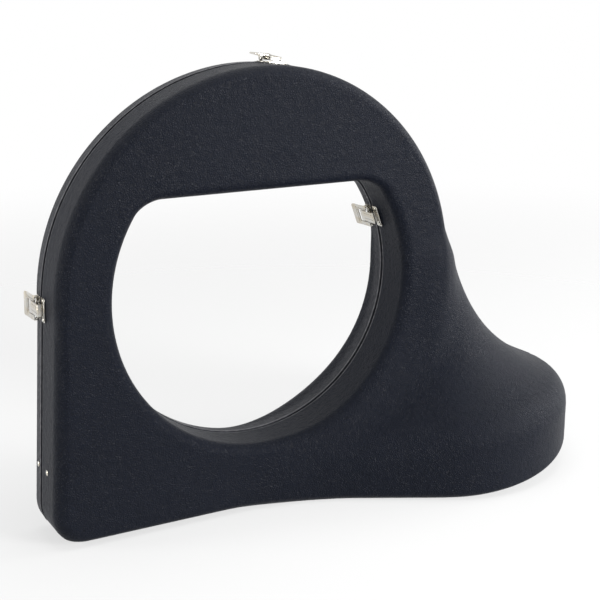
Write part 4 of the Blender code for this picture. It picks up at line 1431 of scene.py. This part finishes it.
    def dress(self, material: Material) -> None:
        """Builds the four latches and hands over each of their pieces."""
        meshes = {
            "base": self.base_mesh(), "lever": self.lever_mesh(), "hook": self.hook_mesh(),
            "catch": self.catch_mesh(), "rivet": self.rivet_mesh(),
            "lever_pin": pin_mesh("latch_lever_pin", self.pin_radius, self.lever_pin),
            "hook_pin": pin_mesh("latch_hook_pin", self.pin_radius, self.hook_pin),
        }
        for site in LatchSite:
            for mesh_word, piece, matrix, body in self.pieces(site):
                obj = link(f"{site.word}_latch_{piece}", meshes[mesh_word].copy(), matrix)
                hand_over(obj, material, body, "nickel", f"latch_{site.word}_{piece}")


@dataclass
class Hinges:
    """Three small hinges in the groove under the seam."""

    places: tuple[tuple[str, float], ...] = (("left", -0.115), ("middle", -0.030), ("right", 0.055))
    length: float = 0.060
    knuckle: float = 0.0016
    bore: float = 0.0011
    pin: float = 0.00075
    sheet: float = 0.0006
    leaf: Span = (0.00135, 0.0036)
    leaf_corner: float = 0.0006
    leaf_ease: float = 0.0001
    tab_start: float = -0.0003
    tab_lap: float = 0.0006
    tab_corner: float = 0.0002
    tab_inset: float = 0.00002
    tab_ease: float = 0.00008
    ease: float = 0.00015

    def barrel(self, low: float, high: float) -> Mesh:
        """Rolled knuckle with eased ends between two places along the hinge."""
        rim = self.knuckle - self.ease
        profile = [(self.bore, high), (rim, high), (self.knuckle, high - self.ease),
                   (self.knuckle, low + self.ease), (rim, low), (self.bore, low), (self.bore, high)]
        mesh = turned(profile, 28)
        mesh.transform(LYING)
        return mesh

    def leaf_mesh(self, name: str, turn: float, side: int, spans: list[Span]) -> Mesh:
        """Leaf with rounded corners, tabs and its knuckles.

        Args:
            name: Name of the mesh.
            turn: Lean of the leaf in degrees, along the groove's slope.
            side: Side of the axis's plane that the sheet lies on.
            spans: Where its knuckles are along the hinge.

        Returns:
            Mesh about the hinge's axis.
        """
        slope = (SEAM.groove - SEAM.hinge_axis_z) / math.sqrt(2)
        low, high = sorted((side * (slope - SEAM.gap - self.sheet), side * (slope - SEAM.gap)))
        half = self.length / 2
        outline = box_outline(-half, self.leaf[0], half, self.leaf[1], self.leaf_corner)
        flat = [plate(outline, low, high, self.leaf_ease)]
        for a, b in spans:
            outline = box_outline(a, self.tab_start, b, self.leaf[0] + self.tab_lap, self.tab_corner)
            flat.append(plate(outline, low + self.tab_inset, high - self.tab_inset, self.tab_ease))
        sheet = joined(name, flat)
        sheet.transform(Matrix.Rotation(math.radians(turn), 4, "X"))
        return joined(name, [sheet, *(self.barrel(a, b) for a, b in spans)])

    def dress(self, material: Material) -> None:
        """Builds the hinges and hands over each of their pieces."""
        half, third, play = self.length / 2, self.length / 3, SEAM.gap
        spans = [(-half, -half + third - play), (half - third + play, half)]
        front = self.leaf_mesh("hinge_front_leaf", 225, -1, spans)
        back = self.leaf_mesh("hinge_back_leaf", -45, 1, [(-half + third, half - third)])
        pin = pin_mesh("hinge_pin", self.pin, self.length, self.ease)
        pieces = (("front_leaf", front, "front_half"), ("pin", pin, "front_half"),
                  ("back_leaf", back, "back_half"))
        for word, x in self.places:
            spot = Matrix.Translation((x, 0, SEAM.hinge_axis_z))
            for piece, mesh, body in pieces:
                obj = link(f"{word}_hinge_{piece}", mesh.copy(), spot)
                hand_over(obj, material, body, "nickel", f"hinge_{word}_{piece}")


@dataclass
class LidStay:
    """Woven tape that stops the lid, and the two domed rivets that hold it through the walls."""

    height: float = 0.078
    front_y: float = -0.020
    back_y: float = 0.0085
    head: float = 0.0030
    rise: float = 0.0010
    shank: float = 0.0011
    foot: float = 0.0022
    width: float = 0.0065
    thickness: float = 0.0010
    edge: float = 0.00025
    rim: float = 0.0003
    top: float = 0.006
    pitch: float = 0.0014
    crown: float = 0.32
    sharp: float = math.radians(50)
    steps: int = 90

    def rivet_mesh(self) -> Mesh:
        """Domed rivet with a washer on the inside."""
        under = SEAM.gap - self.edge
        depth = -(Lining.inside + self.thickness + 4 * SEAM.gap)
        profile = dome(self.head, self.rise, SEAM.gap, 10)
        profile += [(self.head - self.rim, under), (self.shank, under), (self.shank, depth),
                    (self.foot, depth), (self.foot, depth - self.rise * 0.6),
                    (self.foot * 0.6, depth - self.rise), (0.0, depth - self.rise)]
        return joined("stay_rivet", [turned(profile, 48)], 55)

    def path(self) -> np.ndarray:
        """Middle line of the tape: up the wall, y, and distance in from the skin."""
        deep = Lining.inside + 2 * SEAM.gap + self.thickness / 2
        spots = np.array([
            (self.top, self.front_y, deep), (-0.004, self.front_y, deep), (-0.020, -0.0160, 0.0134),
            (-0.040, -0.0115, 0.0146), (-0.053, -0.0085, 0.0187), (-0.0590, -0.0062, 0.0238),
            (-0.0592, -0.0055, 0.0253), (-0.0576, -0.0048, 0.0258), (-0.050, -0.0018, 0.0202),
            (-0.040, 0.0010, 0.0170), (-0.020, 0.0060, 0.0147), (-0.004, self.back_y, deep),
            (self.top, self.back_y, deep),
        ])
        along = np.concatenate([[0], np.cumsum(np.linalg.norm(np.diff(spots, axis=0), axis=1))])
        even = np.linspace(0, along[-1], self.steps)
        return relaxed(np.stack([np.interp(even, along, spots[:, i]) for i in range(3)], -1), 6)

    def tape(self) -> Object:
        """Tape as a ribbon with thick, slightly rounded edges and coordinates for its weave."""
        wall = np.array(FORM.frame_on_foot(0, self.height))
        line = self.path()
        heading = np.gradient(line, axis=0)
        heading[:, 1] = 0
        heading /= np.linalg.norm(heading, axis=1)[:, None]
        normal = np.stack([-heading[:, 2], 0 * heading[:, 0], heading[:, 0]], -1)
        across = np.linspace(-0.5, 0.5, 9)
        crown = 0.5 - self.crown * (2 * np.abs(across)) ** 4
        ring = [(a, c) for a, c in zip(across, crown)] + [(a, -c) for a, c in zip(across[::-1], crown)]
        verts, uvs = [], []
        for k, (spot, out) in enumerate(zip(line, normal)):
            for a, c in ring:
                local = spot + np.array([0, a * self.width, 0]) + out * c * self.thickness
                local[2] = -local[2]
                verts.append(tuple(wall[:3, :3] @ local + wall[:3, 3]))
                uvs.append((a * self.width, k * self.pitch))
        count = len(ring)
        rows = np.arange(len(verts)).reshape(-1, count)
        turned_rows = np.roll(rows, -1, axis=1)
        sides = np.stack([rows[:-1], turned_rows[:-1], turned_rows[1:], rows[1:]], -1).reshape(-1, 4)
        faces = [*sides.tolist(), rows[0, ::-1].tolist(), rows[-1].tolist()]
        mesh = bpy.data.meshes.new("lid_stay_tape")
        mesh.from_pydata(verts, [], faces)
        layer = mesh.uv_layers.new(name="run")
        corner_verts = np.zeros(len(mesh.loops), dtype=np.int32)
        mesh.loops.foreach_get("vertex_index", corner_verts)
        layer.data.foreach_set("uv", np.array(uvs)[corner_verts].ravel())
        build = bmesh.new()
        build.from_mesh(mesh)
        bmesh.ops.recalc_face_normals(build, faces=build.faces)
        build.to_mesh(mesh)
        build.free()
        mesh.shade_smooth()
        mesh.set_sharp_from_angle(angle=self.sharp)
        return link("lid_stay_tape", mesh)

    def dress(self, metal: Material, webbing: Material) -> None:
        """Builds the tape and its rivets and hands them over."""
        mesh = self.rivet_mesh()
        for word, y in (("front", self.front_y), ("back", self.back_y)):
            obj = link(f"{word}_stay_rivet", mesh.copy(), FORM.frame_on_foot(y, self.height))
            hand_over(obj, metal, f"{word}_half", "nickel", f"stay_rivet_{word}")
        tape = self.tape()
        tape.data.materials.append(webbing)
        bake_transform(tape)
        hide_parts("lid_stay_strap")
        LOG.info("%s: %d faces across the lid's joint", tape.name, len(tape.data.polygons))


@dataclass
class MouthpieceBlock:
    """Padded block in the square corner, with a trough for the mouthpiece."""

    half_length: float = 0.030
    half_width: float = 0.019
    top: float = -0.010
    radius: float = 0.0125
    trough_length: float = 0.054
    distance: float = 0.262
    bottom: float = -(Half.FRONT.depth - Lining.inside - SEAM.gap)
    end_slope: float = 0.0022
    rim_share: float = 1.12
    sink: float = 0.98
    ease: float = 0.0035
    cuts: int = 44

    def build(self) -> Object:
        """Builds the block as a rounded box whose top dips along the trough."""
        half = Vector((self.half_length, (self.top - self.bottom) / 2, self.half_width))
        middle = (self.top + self.bottom) / 2
        build = bmesh.new()
        bmesh.ops.create_cube(build, size=2)
        bmesh.ops.subdivide_edges(build, edges=build.edges, cuts=self.cuts, use_grid_fill=True)
        for vert in build.verts:
            spot = Vector(vert.co[i] * half[i] for i in range(3))
            core = Vector(max(-(half[i] - self.ease), min(half[i] - self.ease, spot[i])) for i in range(3))
            away = spot - core
            if away.length > 0:
                spot = core + away.normalized() * self.ease
            spot.y += self.dip(spot, half)
            vert.co = spot + Vector((0, middle, 0))
        mesh = made_mesh(build, "mouthpiece_cradle")
        mesh.shade_smooth()
        out = self.distance / math.sqrt(2)
        spot = Matrix.Translation((FORM.ring_x - out, 0, FORM.ring_z - out))
        return link("mouthpiece_cradle", mesh, spot @ Matrix.Rotation(math.pi / 4, 4, "Y"))

    def dip(self, spot: Vector, half: Vector) -> float:
        """How far the top sinks at a place, along the trough and near its ends."""
        if spot.y < half.y - 2 * self.ease:
            return 0.0
        across = abs(spot.z) / self.radius
        along = (abs(spot.x) - self.trough_length / 2) / self.end_slope
        if across >= self.rim_share or along >= 0.5:
            return 0.0
        bowl = math.sqrt(max(0.0, 1.0 - min(across, 1.0) ** 2))
        fade = min(1.0, max(0.0, 0.5 - along)) ** 0.5
        return -self.radius * bowl * fade * self.sink

    def dress(self, material: Material) -> None:
        obj = self.build()
        hand_over(obj, material, "front_half", "plush_lining", "mouthpiece_block")


@dataclass
class Studio:
    """Pale floor, white surroundings, soft lamps and the camera at the photograph's angle."""

    eye: Triple = (-0.6757, -1.195, 0.586)
    aim: Triple = (-0.0194, 0.0, 0.218)
    lens: float = 75.0
    sensor: float = 36.0
    clip_end: float = 50.0
    floor_colour: Triple = (0.86, 0.86, 0.86)
    floor_radius: float = 6.0
    floor_sides: int = 96
    floor_drop: float = 0.0004
    floor_fade: Span = (0.6, 2.2)
    floor_cover: float = 0.35
    fill: float = 0.3
    lamps: tuple[tuple[str, Triple, Span, float], ...] = (
        ("left", (-2.05, 0.62, 0.45), (0.55, 1.1), 20),
        ("top", (0.1, -0.2, 2.3), (1.3, 1.3), 20),
        ("front", (0.97, -1.83, 0.68), (0.7, 0.6), 46),
        ("right", (2.0, -0.15, 0.75), (1.1, 1.0), 18),
    )

    def camera(self) -> None:
        """Places the camera."""
        data = bpy.data.cameras.new("photo_camera")
        data.lens = self.lens
        data.sensor_width = self.sensor
        data.clip_end = self.clip_end
        bpy.context.scene.camera = self.aimed("photo_camera", data, self.eye)

    def aimed(self, name: str, data: bpy.types.ID, place: Triple) -> Object:
        """Object at a place that points at the case."""
        obj = bpy.data.objects.new(name, data)
        obj.location = place
        obj.rotation_euler = (Vector(self.aim) - Vector(place)).to_track_quat("-Z", "Y").to_euler()
        bpy.context.scene.collection.objects.link(obj)
        return obj

    def lamp(self, name: str, place: Triple, size: Span, power: float) -> None:
        """Adds a soft box that points at the case."""
        data = bpy.data.lights.new(name, "AREA")
        data.shape = "RECTANGLE"
        data.size, data.size_y = size
        data.energy = power
        self.aimed(name, data, place)

    def world(self) -> None:
        """White surroundings for what the camera and mirrors see, and a level fill for the rest."""
        world = bpy.data.worlds.new("white_studio")
        world.use_nodes = True
        tree = Tree(world.node_tree)
        back = world.node_tree.nodes["Background"]
        strength = tree.math("MULTIPLY_ADD", tree.seen(), 1.0 - self.fill, self.fill)
        tree.fill(back, Strength=strength, Color=(1, 1, 1))
        bpy.context.scene.world = world

    def floor(self) -> None:
        """Pale round floor that fades into the white surroundings."""
        build = bmesh.new()
        bmesh.ops.create_circle(build, cap_ends=True, segments=self.floor_sides, radius=self.floor_radius)
        mesh = made_mesh(build, "studio_floor")
        obj = link("studio_floor", mesh, Matrix.Translation((0, 0, -self.floor_drop)))
        made, tree, shader, place = new_material("studio_floor")
        output = made.node_tree.nodes["Material Output"]
        near = tree.ramp(tree.vector("LENGTH", place), *self.floor_fade, 1.0, 0.0)
        share = tree.math("MULTIPLY_ADD", tree.seen(), self.floor_cover - 1.0, 1.0)
        cover = tree.math("MULTIPLY", near, share)
        clear = tree.node("ShaderNodeBsdfTransparent")
        blend = tree.node("ShaderNodeMixShader", Fac=cover)
        tree.feed(blend.inputs[1], clear.outputs["BSDF"])
        tree.feed(blend.inputs[2], shader.outputs["BSDF"])
        tree.fill(output, Surface=blend.outputs["Shader"])
        tree.fill(shader, Base_Color=self.floor_colour, Roughness=0.9, Specular_IOR_Level=0.1)
        mesh.materials.append(made)

    def build(self) -> None:
        """Builds the studio and sets the plain view."""
        self.camera()
        self.world()
        self.floor()
        for side, place, size, power in self.lamps:
            self.lamp(f"{side}_soft_box", place, size, power)
        bpy.context.scene.view_settings.view_transform = "Standard"


def main() -> None:
    """Builds the studio and every piece of the case."""
    logging.basicConfig(level=logging.INFO, format="%(message)s")
    Studio().build()
    leather, plush = LeatherFinish().material(), PlushFinish().material()
    nickel, trim, webbing = NickelFinish().material(), TrimFinish().material(), WebbingFinish().material()
    for half in Half:
        Shell(half).dress(leather)
        Lining(half).dress(plush)
    Tongues().dress(trim)
    Latch().dress(nickel)
    Hinges().dress(nickel)
    LidStay().dress(nickel, webbing)
    MouthpieceBlock().dress(plush)


if __name__ == "__main__":
    main()
